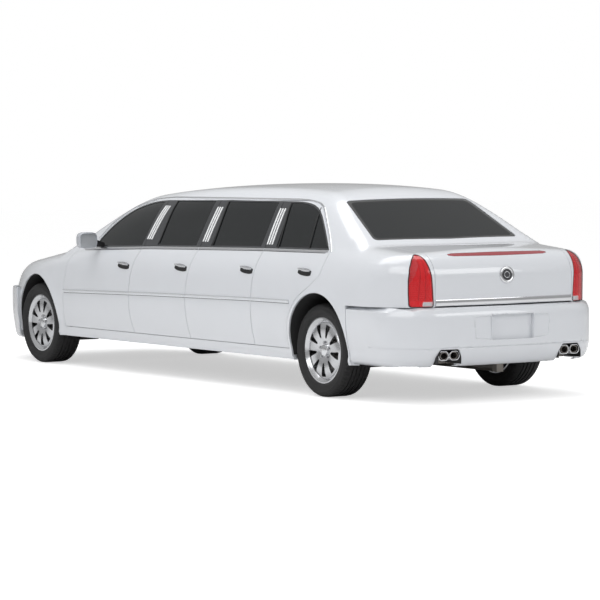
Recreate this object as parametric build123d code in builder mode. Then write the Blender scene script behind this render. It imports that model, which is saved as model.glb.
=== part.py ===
from build123d import *
from math import atan2, cos, degrees, hypot, radians, sin, sqrt
import os

os.makedirs("parts", exist_ok=True)

# Eight-door stretch limousine. Millimetres, +Z up, nose towards -Y, left side towards +X.
# The origin lies on the ground, half way along the car and on its centre line.

# ---------------------------------------------------------------- overall sizes
wheelbase = 4445
front_overhang = 1005
rear_overhang = 1150
half_width = 950
overall_height = 1560
half_track = 788

nose_y = -(wheelbase + front_overhang + rear_overhang) / 2
tail_y = -nose_y
front_axle_y = nose_y + front_overhang
rear_axle_y = tail_y - rear_overhang

# ---------------------------------------------------------------- clearances
shut_gap = 8            # between a moving panel and its neighbour
seat_gap = 0.3          # round glass, lamps and other curved pieces at rest
shaft_gap = 0.05        # radial running clearance of a pin or spindle

# ---------------------------------------------------------------- wheels
tyre_radius = 346
tyre_half_width = 122
tread_half_width = 100
rim_radius = 228
rim_flange_radius = 244
rim_half_width = 103
barrel_wall = 10
hub_radius = 78
spindle_radius = 26
spoke_count = 9
spoke_width = 52
spoke_depth = 30
rim_face_x = 103        # from the tyre's middle plane out to the spokes' face
axle_z = tyre_radius
arch_radius = 385
arch_centre_z = 388
housing_radius = 420
liner_thick = 6
housing_lip = 70        # body side that stands outboard of the wheel housing
front_housing_in = 450  # inner wall of the front wheel housing, from the centre line
rear_housing_in = 640

# ---------------------------------------------------------------- body section
floor_z = 255           # underside of the body sides
floor_top_z = 320
sill_z = 340            # lower edge of the doors
sill_x = half_width - 45
flank_z = 680
shoulder_x = half_width - 25
shoulder_z = 975
belt_x = half_width - 84
belt_z = 1066
rail_x = 655            # top of the side glass
rail_z = 1455
cant_x = 545            # outer edge of the roof panel
cant_z = overall_height - 30
door_thick = 70
frame_thick = 45        # door above the belt
roof_thick = 40

# ---------------------------------------------------------------- side view, from the rear axle
cowl_y = rear_axle_y - 4000
cowl_z = 1040
header_y = rear_axle_y - 3090
header_z = 1468
roof_peak_y = rear_axle_y - 1150
backlight_top_y = rear_axle_y - 190
backlight_top_z = 1462
backlight_foot_y = rear_axle_y + 400
backlight_foot_z = 1142
screen_sag = 130        # how far the windscreen's edges lie behind its middle
backlight_sag = 60
deck_end_y = rear_axle_y + 930
deck_end_z = 1092
tail_face_y = tail_y - 75
bumper_top_z = 695
nose_face_y = nose_y + 60
bonnet_nose_y = nose_y + 150
bonnet_nose_z = 838


block_half = half_width + 60   # beyond the widest point, for the shaping blocks


def trace(start, steps):
    # Each step is (end,) for a straight run or (through, end) for an arc.
    here = start
    for step in steps:
        if len(step) == 1:
            Line(here, step[0])
        else:
            ThreePointArc(here, step[0], step[1])
        here = step[-1]


def prism(plane, start, steps, depth, direction=None, mirrored=False):
    # Closed outline on a plane, pushed along its normal or along a direction.
    with BuildPart() as block:
        with BuildSketch(plane):
            with BuildLine():
                trace(start, steps)
                if mirrored:
                    mirror(about=Plane.YZ)
                else:
                    Line(steps[-1][-1], start)
            make_face()
        extrude(amount=depth, dir=direction)
    return block.part


def side_prism(corners, inner=-1100, outer=1100):
    # Solid whose side view is the closed polygon of (y, z) corners.
    steps = [(corner,) for corner in corners[1:]]
    return prism(Plane.YZ.offset(inner), corners[0], steps, outer - inner)


def box_between(x0, x1, y0, y1, z0, z1):
    # Plain box from its limits along the three axes.
    centre = ((x0 + x1) / 2, (y0 + y1) / 2, (z0 + z1) / 2)
    return Pos(*centre) * Box(x1 - x0, y1 - y0, z1 - z0, mode=Mode.PRIVATE)


# ---------------------------------------------------------------- cross-section of the body
belt_to_rail = hypot(belt_x - rail_x, rail_z - belt_z)
glass_nx = (rail_z - belt_z) / belt_to_rail     # outward normal of the side glass
glass_nz = (belt_x - rail_x) / belt_to_rail


def section_steps(side_in, glass_in, bottom_z):
    # Left half from the bottom of the side up to the rail, moved inwards.
    start = (sill_x - side_in, bottom_z)
    return start, [
        ((sill_x - side_in, sill_z),),
        ((half_width - side_in, flank_z), (shoulder_x - side_in, shoulder_z)),
        ((belt_x - glass_in * glass_nx, belt_z - glass_in * glass_nz),),
        ((rail_x - glass_in * glass_nx, rail_z - glass_in * glass_nz),),
    ]


def section_prism(side_in, glass_in, roof_in, bottom_z, y0, y1):
    # The whole cross-section as a bar along the car.
    start, steps = section_steps(side_in, glass_in, bottom_z)
    top = overall_height - roof_in
    steps = [(start,)] + steps + [
        ((cant_x, cant_z - roof_in),),
        ((cant_x / 2, top - (top - cant_z + roof_in) * 0.25), (0, top)),
    ]
    return prism(Plane.XZ.offset(-y1), (0, bottom_z), steps, y1 - y0, mirrored=True)


def side_wall(side_in, glass_in, thick_low, thick_high, bottom_z, y0, y1):
    # Left side wall between two depths, as a bar along the car.
    start, outer = section_steps(side_in, glass_in, bottom_z)
    inner_start, inner = section_steps(side_in + thick_low, glass_in + thick_high, bottom_z)
    back = [(inner[3][0],), (inner[2][0],), (inner[1][1],), (inner[1][0], inner[0][0]), (inner_start,)]
    return prism(Plane.XZ.offset(-y1), start, outer + back, y1 - y0)


def wall_post(side_in, glass_in, thick, reach, y0, y1):
    # Post inside the left wall, from the sill to the belt and on up to the roof.
    start, outer = section_steps(side_in, glass_in, floor_top_z)
    inner_start, inner = section_steps(side_in + thick, glass_in + thick, floor_top_z)
    up = (-reach * glass_nz, reach * glass_nx)
    outer[3] = ((outer[3][0][0] + up[0], outer[3][0][1] + up[1]),)
    head = (inner[3][0][0] + up[0], inner[3][0][1] + up[1])
    back = [(head,), (inner[2][0],), (inner[1][1],), (inner[1][0], inner[0][0]), (inner_start,)]
    return prism(Plane.XZ.offset(-y1), start, outer + back, y1 - y0)


def glass_bar(depth, thick, y0, y1):
    # Flat sheet along the whole side between the belt and the rail.
    def corner(x, z, inward):
        return (x - inward * glass_nx, z - inward * glass_nz)

    start = corner(belt_x, belt_z, depth)
    steps = [
        (corner(rail_x, rail_z, depth),),
        (corner(rail_x, rail_z, depth + thick),),
        (corner(belt_x, belt_z, depth + thick),),
    ]
    return prism(Plane.XZ.offset(-y1), start, steps, y1 - y0)


# ---------------------------------------------------------------- glass planes
screen_rise = hypot(header_y - cowl_y, header_z - cowl_z)
screen_dir = (0, (header_y - cowl_y) / screen_rise, (header_z - cowl_z) / screen_rise)
backlight_rise = hypot(backlight_foot_y - backlight_top_y, backlight_top_z - backlight_foot_z)
backlight_dir = (
    0,
    (backlight_top_y - backlight_foot_y) / backlight_rise,
    (backlight_top_z - backlight_foot_z) / backlight_rise,
)
glass_thick = 6
glass_depth = 4         # how far glass lies below the skin round it


def behind_screen(depth):
    # Everything behind the windscreen's curved face, moved inwards by a depth.
    drop = 900
    y = cowl_y - drop * screen_dir[1] / screen_dir[2] + depth / screen_dir[2]
    edge = (block_half, y + screen_sag)
    steps = [((block_half / 2, y + screen_sag / 4), edge), ((block_half, tail_y + 4000),), ((0, tail_y + 4000),)]
    return prism(Plane.XY.offset(cowl_z - drop), (0, y), steps, 4200, screen_dir, mirrored=True)


def ahead_of_backlight(depth):
    # Everything ahead of the rear window's curved face, moved inwards by a depth.
    drop = 900
    y = backlight_foot_y - drop * backlight_dir[1] / backlight_dir[2] - depth / backlight_dir[2]
    edge = (block_half, y - backlight_sag)
    steps = [((block_half / 2, y - backlight_sag / 4), edge), ((block_half, nose_y - 4000),), ((0, nose_y - 4000),)]
    return prism(Plane.XY.offset(backlight_foot_z - drop), (0, y), steps, 4200, backlight_dir, mirrored=True)


def under_roof(depth, bottom_z):
    # Side view of the roof as one arc with its ends falling to the headers.
    front = (header_y - 60, header_z - depth - 8)
    rear = (backlight_top_y + 60, backlight_top_z - depth - 12)
    peak = (roof_peak_y, overall_height - depth)
    shoulder_front = (header_y + 500, overall_height - depth - 32)
    shoulder_rear = (backlight_top_y - 420, overall_height - depth - 18)
    steps = [
        ((cowl_y - 1200, front[1]),),
        (front,),
        ((header_y + 220, header_z - depth + 42), shoulder_front),
        (peak, shoulder_rear),
        ((backlight_top_y - 130, backlight_top_z - depth + 44), rear),
        ((backlight_foot_y + 1200, rear[1]),),
        ((backlight_foot_y + 1200, bottom_z),),
    ]
    return prism(Plane.YZ.offset(-block_half), (cowl_y - 1200, bottom_z), steps, 2 * block_half)


greenhouse = under_roof(0, floor_z) & behind_screen(0) & ahead_of_backlight(0)

# ---------------------------------------------------------------- bonnet and deck
bonnet_slope = atan2(cowl_z - bonnet_nose_z, cowl_y - bonnet_nose_y)
bonnet_thick = 26


def under_bonnet(depth):
    # Crowned bar that follows the bonnet's slope.
    plane = Plane(
        origin=(0, cowl_y + 400, cowl_z + 400 * sin(bonnet_slope) / cos(bonnet_slope) - depth),
        x_dir=(1, 0, 0),
        z_dir=(0, -cos(bonnet_slope), -sin(bonnet_slope)),
    )
    steps = [
        ((420, -13), (772, -54)),
        ((892, -88), (block_half, -240)),
        ((block_half, -1000),),
        ((0, -1000),),
    ]
    return prism(plane, (0, 0), steps, 2400, mirrored=True)


deck_slope = atan2(backlight_foot_z - deck_end_z, deck_end_y - backlight_foot_y)


def under_deck(depth):
    # Crowned bar that follows the boot lid's fall towards the tail.
    plane = Plane(
        origin=(0, backlight_foot_y - 600, backlight_foot_z + 600 * sin(deck_slope) / cos(deck_slope) - depth),
        x_dir=(-1, 0, 0),
        z_dir=(0, cos(deck_slope), -sin(deck_slope)),
    )
    steps = [
        ((400, -8), (700, -30)),
        ((865, -75), (block_half, -240)),
        ((block_half, -1100),),
        ((0, -1100),),
    ]
    return prism(plane, (0, 0), steps, 2000, mirrored=True)


def plan_prism(start, steps, z0, z1):
    # Seen from above, from the nose on the centre line round to the tail.
    return prism(Plane.XY.offset(z0), start, steps, z1 - z0, mirrored=True)


upper_plan = plan_prism(
    (0, nose_face_y),
    [((330, nose_face_y + 22), (600, nose_face_y + 85)),
     ((800, nose_face_y + 290), (920, nose_face_y + 610)),
     ((block_half - 30, front_axle_y + 200),),
     ((block_half - 30, rear_axle_y + 250),),
     ((905, tail_face_y - 330), (790, tail_face_y - 100)),
     ((622, tail_face_y - 22),),
     ((0, tail_face_y),)],
    0, overall_height + 100,
)
lower_plan = plan_prism(
    (0, nose_y),
    [((400, nose_y + 38), (660, nose_y + 130)),
     ((830, nose_y + 300), (925, nose_y + 540)),
     ((block_half - 30, front_axle_y + 200),),
     ((block_half - 30, rear_axle_y + 350),),
     ((915, tail_y - 300), (800, tail_y - 120)),
     ((450, tail_y - 25), (0, tail_y))],
    0, bumper_top_z,
)
upper_side = side_prism([
    (nose_face_y, floor_z), (nose_face_y, 720), (nose_face_y + 40, 800), (bonnet_nose_y - 10, bonnet_nose_z),
    (bonnet_nose_y + 60, overall_height + 50), (deck_end_y, overall_height + 50), (deck_end_y, deck_end_z),
    (tail_face_y - 105, 1070), (tail_face_y - 35, 1000), (tail_face_y, 900), (tail_face_y - 15, floor_z),
])
nose_bottom_z = 200
tail_bottom_z = 262
lower_side = side_prism([
    (nose_y + 90, nose_bottom_z), (nose_y + 25, 300), (nose_y, 420), (nose_y, 560), (nose_y + 45, bumper_top_z),
    (tail_y - 40, bumper_top_z), (tail_y, 640), (tail_y, 460), (tail_y - 20, 340), (tail_y - 60, tail_bottom_z),
    (0, tail_bottom_z), (0, nose_bottom_z),
])
bar = section_prism(0, 0, 0, floor_z, nose_y, tail_y) & upper_plan & upper_side
upper_body = (bar & greenhouse) + (bar & under_bonnet(0)) + (bar & under_deck(0))
lower_body = section_prism(0, 0, 0, nose_bottom_z, nose_y, tail_y) & lower_plan & lower_side

# ---------------------------------------------------------------- shut lines of the doors
# columns: y at the sill, at the waist, at the belt and at the roof rail
waist_z = 680
rail_top_z = 1440
shut_lines = [
    (rear_axle_y - 3962, rear_axle_y - 3915, rear_axle_y - 3815, rear_axle_y - 3815),
    (rear_axle_y - 2770, rear_axle_y - 2795, rear_axle_y - 2672, rear_axle_y - 2637),
    (rear_axle_y - 1870, rear_axle_y - 1885, rear_axle_y - 1790, rear_axle_y - 1795),
    (rear_axle_y - 905, rear_axle_y - 905, rear_axle_y - 840, rear_axle_y - 875),
]
arch_flange = 35        # strip of body side between the rear door and the wheel arch


def arch_point(radius, angle):
    # Point on a circle round the rear wheel, in the side view.
    return rear_axle_y - radius * cos(radians(angle)), arch_centre_z + radius * sin(radians(angle))


def side_face(start, steps, inner=500, outer=1100):
    # Outline in the side view pushed outwards through the left side of the car.
    return prism(Plane.YZ.offset(inner), start, steps, outer - inner)


def door_steps(number, inset):
    # Outline of one left door with its edges moved in from the shut lines.
    front = shut_lines[number - 1]
    low = sill_z + inset
    start = (front[0] + inset, low)
    steps = [((front[1] + inset, waist_z), (front[2] + inset, belt_z - 30))]
    if number == 1:
        steps += [
            ((rear_axle_y - 3500 + inset, 1095),),
            ((rear_axle_y - 3390 + inset, 1222 - inset),),
            ((rear_axle_y - 3170 + inset, 1354 - inset),),
            ((rear_axle_y - 2900, 1418 - inset),),
        ]
    else:
        steps += [((front[3] + inset, rail_top_z - inset),)]
    if number < 4:
        rear = shut_lines[number]
        steps += [
            ((rear[3] - inset, rail_top_z - inset),),
            ((rear[2] - inset, belt_z - 30),),
            ((rear[1] - inset, waist_z), (rear[0] - inset, low)),
        ]
    else:
        ring = arch_radius + arch_flange + inset
        steps += [
            ((rear_axle_y - 480, rail_top_z - inset),),
            ((rear_axle_y - 360, 1415 - inset), (rear_axle_y - 270 - inset, 1370 - inset)),
            ((rear_axle_y - 50 - inset, 1190 - inset),),
            ((rear_axle_y + 66 - inset, 1062),),
            ((rear_axle_y + 36 - inset, 905),),
            ((rear_axle_y - 60 - inset, 838), arch_point(ring, 66)),
            (arch_point(ring, 30), arch_point(ring, -2)),
            ((arch_point(ring, -2)[0], low),),
        ]
    return start, steps


# columns: how far the rear shut face leans forward per millimetre inwards, low down and beside the glass
rear_leans = [(0.14, 0.35), (0.14, 0.40), (0.14, 0.40), (0.22, 0.75)]
lean_top_z = 1000       # the low lean ends here and the upper one starts
lean_start = 15         # the upper cut starts this far outside the skin


def low_relief(number, inset):
    # Wedge behind a door's lower rear edge that lets its inner corner swing out.
    lean = rear_leans[number - 1][0]
    edge = door_steps(number, inset)[1]
    first = -3 if number < 4 else -5
    outline = edge[first:]
    if number < 4:
        outline = [outline[1], (outline[2][0], outline[2][1])]
    back = rear_axle_y + 400 if number == 4 else shut_lines[number][1] + 400
    high = outline[0][-1][1]
    points = [((back, high),)] + outline + [((outline[-1][-1][0], 200),), ((back, 200),)]
    shift = lean * (half_width - 500)
    moved = [tuple((p[0] - shift, p[1]) for p in step) for step in points]
    wedge = prism(Plane.YZ.offset(500), moved[0][0], moved[1:], 600 * hypot(1, lean), (1, lean, 0))
    return wedge & box_between(0, 1200, nose_y, tail_y, 0, lean_top_z)


def high_relief(number, inset):
    # The same beside the glass, measured from the sloping plane of the panes.
    lean = rear_leans[number - 1][1]
    if number < 4:
        rear = shut_lines[number]
        slope = (rear[3] - rear[2]) / (rail_top_z - belt_z + 30)
        low_y = rear[2] - inset - slope * (belt_z - 30 - lean_top_z)
        edge = [(low_y, lean_top_z), (rear[3] - inset, rail_top_z + 20)]
    else:
        edge = [
            (rear_axle_y + 55 - inset, lean_top_z), (rear_axle_y + 66 - inset, 1062),
            (rear_axle_y - 50 - inset, 1190 - inset), (rear_axle_y - 270 - inset, 1370 - inset),
            (rear_axle_y - 360, 1415 - inset), (rear_axle_y - 480, rail_top_z - inset),
            (rear_axle_y - 480, rail_top_z + 20),
        ]
    back = rear_axle_y + 400 if number == 4 else shut_lines[number][2] + 300
    corners = edge + [(back, edge[-1][1]), (back, edge[0][1])]
    plane = Plane(
        origin=(belt_x + lean_start, 0, belt_z), x_dir=(0, 1, 0), z_dir=(glass_nx, 0, glass_nz)
    )
    local = [(y + lean * lean_start, (z - belt_z) / glass_nx) for y, z in corners]
    steps = [(corner,) for corner in local[1:]]
    return prism(plane, local[0], steps, 260, (-1, -lean, 0))


# ---------------------------------------------------------------- side windows
glass_in_frame = 38     # width of the frame over and beside the panes
# columns: front foot y, front head y, rear head y, rear foot y, head z front, head z rear
window_rows = [
    (rear_axle_y - 3470, rear_axle_y - 3070, rear_axle_y - 2695, rear_axle_y - 2714, 1352, 1408),
    (rear_axle_y - 2456, rear_axle_y - 2488, rear_axle_y - 1871, rear_axle_y - 1853, 1410, 1410),
    (rear_axle_y - 1617, rear_axle_y - 1674, rear_axle_y - 941, rear_axle_y - 886, 1410, 1410),
    (rear_axle_y - 659, rear_axle_y - 762, rear_axle_y - 470, rear_axle_y - 25, 1410, 1408),
]
window_foot_z = 1088
pane_gap = 0.6


def window_steps(number, inset):
    # Outline of one side window, with its edges moved inwards.
    foot0, head0, head1, foot1, z0, z1 = window_rows[number - 1]
    front_shift = 2.5 * inset if number == 1 else inset
    rear_shift = 2.5 * inset if number == 4 else inset
    start = (foot0 + front_shift, window_foot_z + inset)
    if number == 1:
        steps = [((foot0 + 60 + inset, 1140),), ((head0 + inset, z0 - inset),), ((head0 + 190, z1 - inset - 6),)]
    else:
        steps = [((head0 + inset, z0 - inset),)]
    steps += [((head1 - inset, z1 - inset),)]
    if number == 4:
        steps += [((rear_axle_y - 300 - inset, 1352 - inset),)]
    steps += [((foot1 - rear_shift, window_foot_z + inset),)]
    return start, steps


# ---------------------------------------------------------------- door hinges
hinge_x = half_width - 14
hinge_pin_radius = 5
hinge_heights = (590, 770)
pin_reach = 40          # half length of a hinge pin
arm_half_width = hinge_pin_radius
arm_half_height = 12
arm_room = 6            # above and below an arm, inside the door's pocket
hinge_set = (-21, -45, -26, -5)     # from each front shut line at the belt
post_in_low = (150, 122, 122, 122)  # posts stand this far inside the body side
post_in_high = frame_thick + 12
post_thick = 45
post_reach = 75
pillar_half = 50


def hinge_y(number):
    # Place of a door's hinge line along the car.
    return shut_lines[number - 1][2] + hinge_set[number - 1]


# ---------------------------------------------------------------- cabin and boot hollows
bulkhead_y = cowl_y + 170
cabin_rear_y = rear_axle_y + 330
shelf_z = 1050
boot_front_y = rear_axle_y + 390
boot_floor_z = 470
cavity = section_prism(door_thick, frame_thick, roof_thick, floor_z - 60, nose_y, tail_y)
cavity = cavity & under_roof(roof_thick, 0) & behind_screen(roof_thick) & ahead_of_backlight(roof_thick)
cabin_hollow = cavity & box_between(-1000, 1000, bulkhead_y, cabin_rear_y, 0, 2000)
cabin_hollow = cabin_hollow + (cavity & box_between(-1000, 1000, cowl_y, rear_axle_y + 480, shelf_z, 2000))

lid_half_x = 612
lid_front_y = backlight_foot_y + 50
lid_thick = 40
boot_hollow = box_between(-700, 700, boot_front_y, tail_face_y - 70, 0, 2000) & under_deck(lid_thick + 20)

# ---------------------------------------------------------------- windscreen and rear window
screen_plane = Plane(origin=(0, cowl_y, cowl_z), x_dir=(1, 0, 0), z_dir=(0, -screen_dir[2], screen_dir[1]))
light_plane = Plane(
    origin=(0, backlight_foot_y, backlight_foot_z), x_dir=(-1, 0, 0), z_dir=(0, backlight_dir[2], -backlight_dir[1])
)
screen_foot = (760, 50)     # half-width and height up the slope
screen_head = (560, 40)
light_foot = (655, 30)
light_head = (560, 20)


def pane_prism(plane, rise, foot, head, inset):
    # Four-cornered opening square to a glass plane.
    start = (0, foot[1] + inset)
    steps = [
        ((foot[0] - inset, foot[1] + inset + 30),),
        ((head[0] - inset, rise - head[1] - inset),),
        ((0, rise - head[1] - inset),),
    ]
    block = prism(plane.offset(-170), start, steps, 230, mirrored=True)
    return block


screen_hole = pane_prism(screen_plane, screen_rise, screen_foot, screen_head, 0)
light_hole = pane_prism(light_plane, backlight_rise, light_foot, light_head, 0)

# ---------------------------------------------------------------- front wings
wing_inner_x = 705
wing_front_split_z = 640
wing_split_y = front_axle_y - arch_radius - 15


def wing_steps(inset):
    # Left front wing in the side view, from the sill round to the nose.
    rear = shut_lines[0]
    return (rear[0] - inset, floor_z - 10), [
        ((rear[0] - inset, sill_z),),
        ((rear[1] - inset, waist_z), (rear[2] - inset, belt_z - 30)),
        ((rear[2] - 60 - inset, belt_z + 40),),
        ((nose_y, belt_z + 40),),
        ((nose_y, wing_front_split_z),),
        ((wing_split_y, wing_front_split_z),),
        ((wing_split_y, floor_z - 10),),
    ]


wing_rear_x = 838       # the wing is a shallow skin behind the bonnet
cowl_front_y = cowl_y - 30       # leaves room for the bonnet's edge to swing down


def wing_region(gap):
    # Space of the left front wing, with a gap all round on the inside.
    region = side_face(*wing_steps(0), inner=wing_inner_x - gap)
    return region - box_between(0, wing_rear_x - gap, cowl_front_y + 3 + gap, 0, 0, 2000)


def wheel_well(axle_y, radius, housing_in):
    # Space round both wheels of an axle, open to the sides.
    with BuildPart() as well:
        for side in (-1, 1):
            with BuildSketch(Plane.YZ.offset(side * housing_in)):
                with Locations((axle_y, arch_centre_z)):
                    Circle(radius)
            extrude(amount=side * (half_width - housing_lip - housing_in))
            with BuildSketch(Plane.YZ.offset(side * (half_width - housing_lip - 1))):
                with Locations((axle_y, arch_centre_z)):
                    Circle(arch_radius)
            extrude(amount=side * 400)
    return well.part


front_well = wheel_well(front_axle_y, housing_radius, front_housing_in)
rear_well = wheel_well(rear_axle_y, arch_radius + 10, rear_housing_in)


def both_sides(piece):
    # A left piece and its mirror image.
    return piece + mirror(piece, about=Plane.YZ)


front_door_hole = door_steps(1, 0)
rear_door_hole = door_steps(4, 0)
rail_joint = [((shut_lines[1][3], rail_top_z),)]
aperture = side_face(front_door_hole[0], front_door_hole[1][:5] + rail_joint + rear_door_hole[1][1:])
aperture = both_sides(aperture & side_wall(-60, -60, door_thick + 74, frame_thick + 70, floor_z, nose_y, tail_y))
front_pocket = box_between(765, 1100, shut_lines[0][0] - 15, hinge_y(1) + 60, sill_z, shoulder_z + 20)


def finish(piece, label):
    # Names a finished piece and writes it to its own file.
    piece.label = label
    export_step(piece, f"parts/{label}.step")
    sizes = [round(solid.volume / 1e6, 2) for solid in piece.solids()]
    print(label, len(sizes), "solids", sizes[:6], "valid" if piece.is_valid else "NOT VALID")


# ---------------------------------------------------------------- lamps
lamp_front_y = tail_face_y - 225
lamp_in_x = lid_half_x + 12
lamp_out_x = lid_half_x + 190
lamp_top_z = 1078


def tail_lamp_space(gap):
    # Left tail lamp as a bar through the rear corner, tall with a narrow head.
    low = bumper_top_z + seat_gap + 3 - gap
    corners = [
        ((lamp_out_x + gap, low),), ((lamp_out_x - 22 + gap, 850),), ((lamp_in_x + 78 + gap, 1010),),
        ((lamp_in_x + 62 + gap, 1062), (lamp_in_x + 32, lamp_top_z + gap)),
        ((lamp_in_x + 12 - gap, 1050),), ((lamp_in_x - gap, 860),), ((lamp_in_x - gap, low),),
    ]
    return prism(Plane.XZ.offset(-tail_y), (lamp_in_x - gap, low), corners[:-1], tail_y - lamp_front_y + gap)


stop_lamp_half = 443


def stop_lamp_bar(gap):
    # Space of the high stop lamp in the lid's trailing edge.
    return box_between(
        -stop_lamp_half - gap, stop_lamp_half + gap, deck_end_y + 6 - gap, deck_end_y + 60, 1052 - gap, 1076 + gap
    )


wide = 1200             # half-width of the boxes that trim whole panels

# ---------------------------------------------------------------- bonnet and lid hinges
bonnet_rear_y = cowl_y - 72
bonnet_hinge_x = 300
bonnet_hinge_y = bonnet_rear_y - 60
bonnet_hinge_z = cowl_z - 85
lid_hinge_x = 520
lid_hinge_y = lid_front_y + 60
lid_hinge_z = backlight_foot_z - 86
lid_front_z = backlight_foot_z - 5      # top of the lid's front edge on the centre line
lug_half = 8
lug_radius = 13
lug_bore = 6
bracket_gap = 3         # beside a lug
bracket_thick = 10
swing_gap = 6           # between a panel's swinging edge and the body
lid_swing = hypot(lid_front_y - lid_hinge_y, lid_front_z - lid_hinge_z) + swing_gap
# side views of the brackets as (y, z) from the hinge line
bonnet_bracket = [
    (-9, 7), (-5, 9), (5, 9), (9, 7), (44, -25), (96, -25), (96, -8), (120, -8), (120, -50), (36, -50), (-9, -14),
]
lid_bracket = [
    (-8, 6), (-4, 8), (4, 8), (8, 6), (14, -96), (-132, -96), (-132, -72), (-22, -72),
]


def swept_room(axis_y, axis_z, radius, half):
    # Room for the edge of a panel that swings about a line across the car.
    with BuildPart() as room:
        with BuildSketch(Plane.YZ.offset(-half)):
            with Locations((axis_y, axis_z)):
                Circle(radius)
        extrude(amount=2 * half)
    return room.part


def hinge_brackets(middle_x, axis_y, axis_z, profile):
    # Two plates and a pin on each side of the car for a panel's pair of lugs.
    inner = middle_x - lug_half - bracket_gap - bracket_thick
    outer = middle_x + lug_half + bracket_gap + bracket_thick
    corners = [(axis_y + y, axis_z + z) for y, z in profile]
    with BuildPart() as brackets:
        add(side_prism(corners, inner, inner + bracket_thick))
        add(side_prism(corners, outer - bracket_thick, outer))
        with BuildSketch(Plane.YZ.offset(inner)):
            with Locations((axis_y, axis_z)):
                Circle(lug_bore)
        extrude(amount=outer - inner)
    return both_sides(brackets.part)


def lug_arm(side, middle_x, axis_y, axis_z, height):
    # Lug that reaches down from a panel to its hinge pin.
    with BuildPart() as arm:
        with BuildSketch(Plane.YZ.offset(side * middle_x - lug_half)):
            with Locations((axis_y, axis_z)):
                Circle(lug_radius)
            with Locations((axis_y, axis_z + height / 2)):
                Rectangle(1.6 * lug_radius, height)
            with Locations((axis_y, axis_z)):
                Circle(lug_bore + shaft_gap, mode=Mode.SUBTRACT)
        extrude(amount=2 * lug_half)
    return arm.part

# ================================================================ body shell
with BuildPart() as body_shell:
    add(upper_body)
    add(box_between(-wide, wide, nose_y - 50, cowl_front_y, 0, 2000), mode=Mode.SUBTRACT)
    add(box_between(-wide, wide, nose_y, bulkhead_y - 40, 0, 940), mode=Mode.SUBTRACT)
    add(swept_room(lid_hinge_y, lid_hinge_z, lid_swing, lid_half_x + 6), mode=Mode.SUBTRACT)
    add(cabin_hollow, mode=Mode.SUBTRACT)
    add(aperture, mode=Mode.SUBTRACT)
    add(both_sides(front_pocket), mode=Mode.SUBTRACT)
    add(boot_hollow, mode=Mode.SUBTRACT)
    add(screen_hole, mode=Mode.SUBTRACT)
    add(light_hole, mode=Mode.SUBTRACT)
    add(rear_well, mode=Mode.SUBTRACT)
    add(both_sides(wing_region(seat_gap)), mode=Mode.SUBTRACT)
    add(box_between(-wide, wide, rear_axle_y + 395, tail_y, 0, bumper_top_z + seat_gap), mode=Mode.SUBTRACT)
    add(both_sides(tail_lamp_space(seat_gap)), mode=Mode.SUBTRACT)
    lid_hole = box_between(-lid_half_x - 6, lid_half_x + 6, lid_front_y - 14, tail_y, 500, 2000)
    add(lid_hole, mode=Mode.SUBTRACT)
    for number in (1, 2, 3, 4):
        middle_y = hinge_y(number)
        depth = post_in_low[number - 1]
        post = wall_post(depth, post_in_high, post_thick, post_reach, middle_y - pillar_half, middle_y + pillar_half)
        if number == 1:
            post = post & box_between(-wide, wide, nose_y, 0, 0, shoulder_z)
        add(both_sides(post))
        arm_root_x = half_width - depth - 10
        for height in hinge_heights:
            with BuildSketch(Plane.XY.offset(height - arm_half_height)):
                for side in (-1, 1):
                    with Locations((side * (hinge_x + arm_root_x) / 2, middle_y)):
                        Rectangle(hinge_x - arm_root_x, 2 * arm_half_width)
            extrude(amount=2 * arm_half_height)
            with BuildSketch(Plane.XY.offset(height - pin_reach)):
                for side in (-1, 1):
                    with Locations((side * hinge_x, middle_y)):
                        Circle(hinge_pin_radius)
            extrude(amount=2 * pin_reach)

# the shell is cut into real panels by these boxes, and what is left over is the pillars
cowl_split_y = shut_lines[0][2] + 65
cowl_split_z = cowl_z + 45
sill_split_x = 800
sill_split_z = sill_z + 2
roof_split_z = rail_top_z - 7
quarter_split_y = arch_point(arch_radius + arch_flange, 0)[0] - 12
header_low_z = roof_split_z - 40
header_half = 590
panel_rooms = {
    "cowl_panel": box_between(-wide, wide, nose_y, cowl_split_y, 0, cowl_split_z),
    "sills": both_sides(box_between(sill_split_x, wide, cowl_split_y, quarter_split_y, 0, sill_split_z)),
    "rear_quarters": box_between(-wide, wide, quarter_split_y, tail_y, 0, roof_split_z),
    "roof_panel": box_between(-wide, wide, nose_y, tail_y, roof_split_z, overall_height + 100)
    + box_between(-header_half, header_half, header_y - 60, header_y + 140, header_low_z, roof_split_z + 10),
}
with BuildPart() as pillars:
    add(body_shell.part)
    for room in panel_rooms.values():
        add(room, mode=Mode.SUBTRACT)
finish(pillars.part, "body_pillars")
panel_brackets = {
    "cowl_panel": hinge_brackets(bonnet_hinge_x, bonnet_hinge_y, bonnet_hinge_z, bonnet_bracket),
    "rear_quarters": hinge_brackets(lid_hinge_x, lid_hinge_y, lid_hinge_z, lid_bracket),
}
for name, room in panel_rooms.items():
    with BuildPart() as panel:
        add(body_shell.part)
        add(room, mode=Mode.INTERSECT)
        if name in panel_brackets:
            add(panel_brackets[name])
    finish(panel.part, name)

# ================================================================ doors and their glass
side_glass = glass_bar(glass_depth, glass_thick, nose_y, tail_y)
door_bar = side_wall(0, 0, door_thick, frame_thick, 300, nose_y, tail_y)

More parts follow.
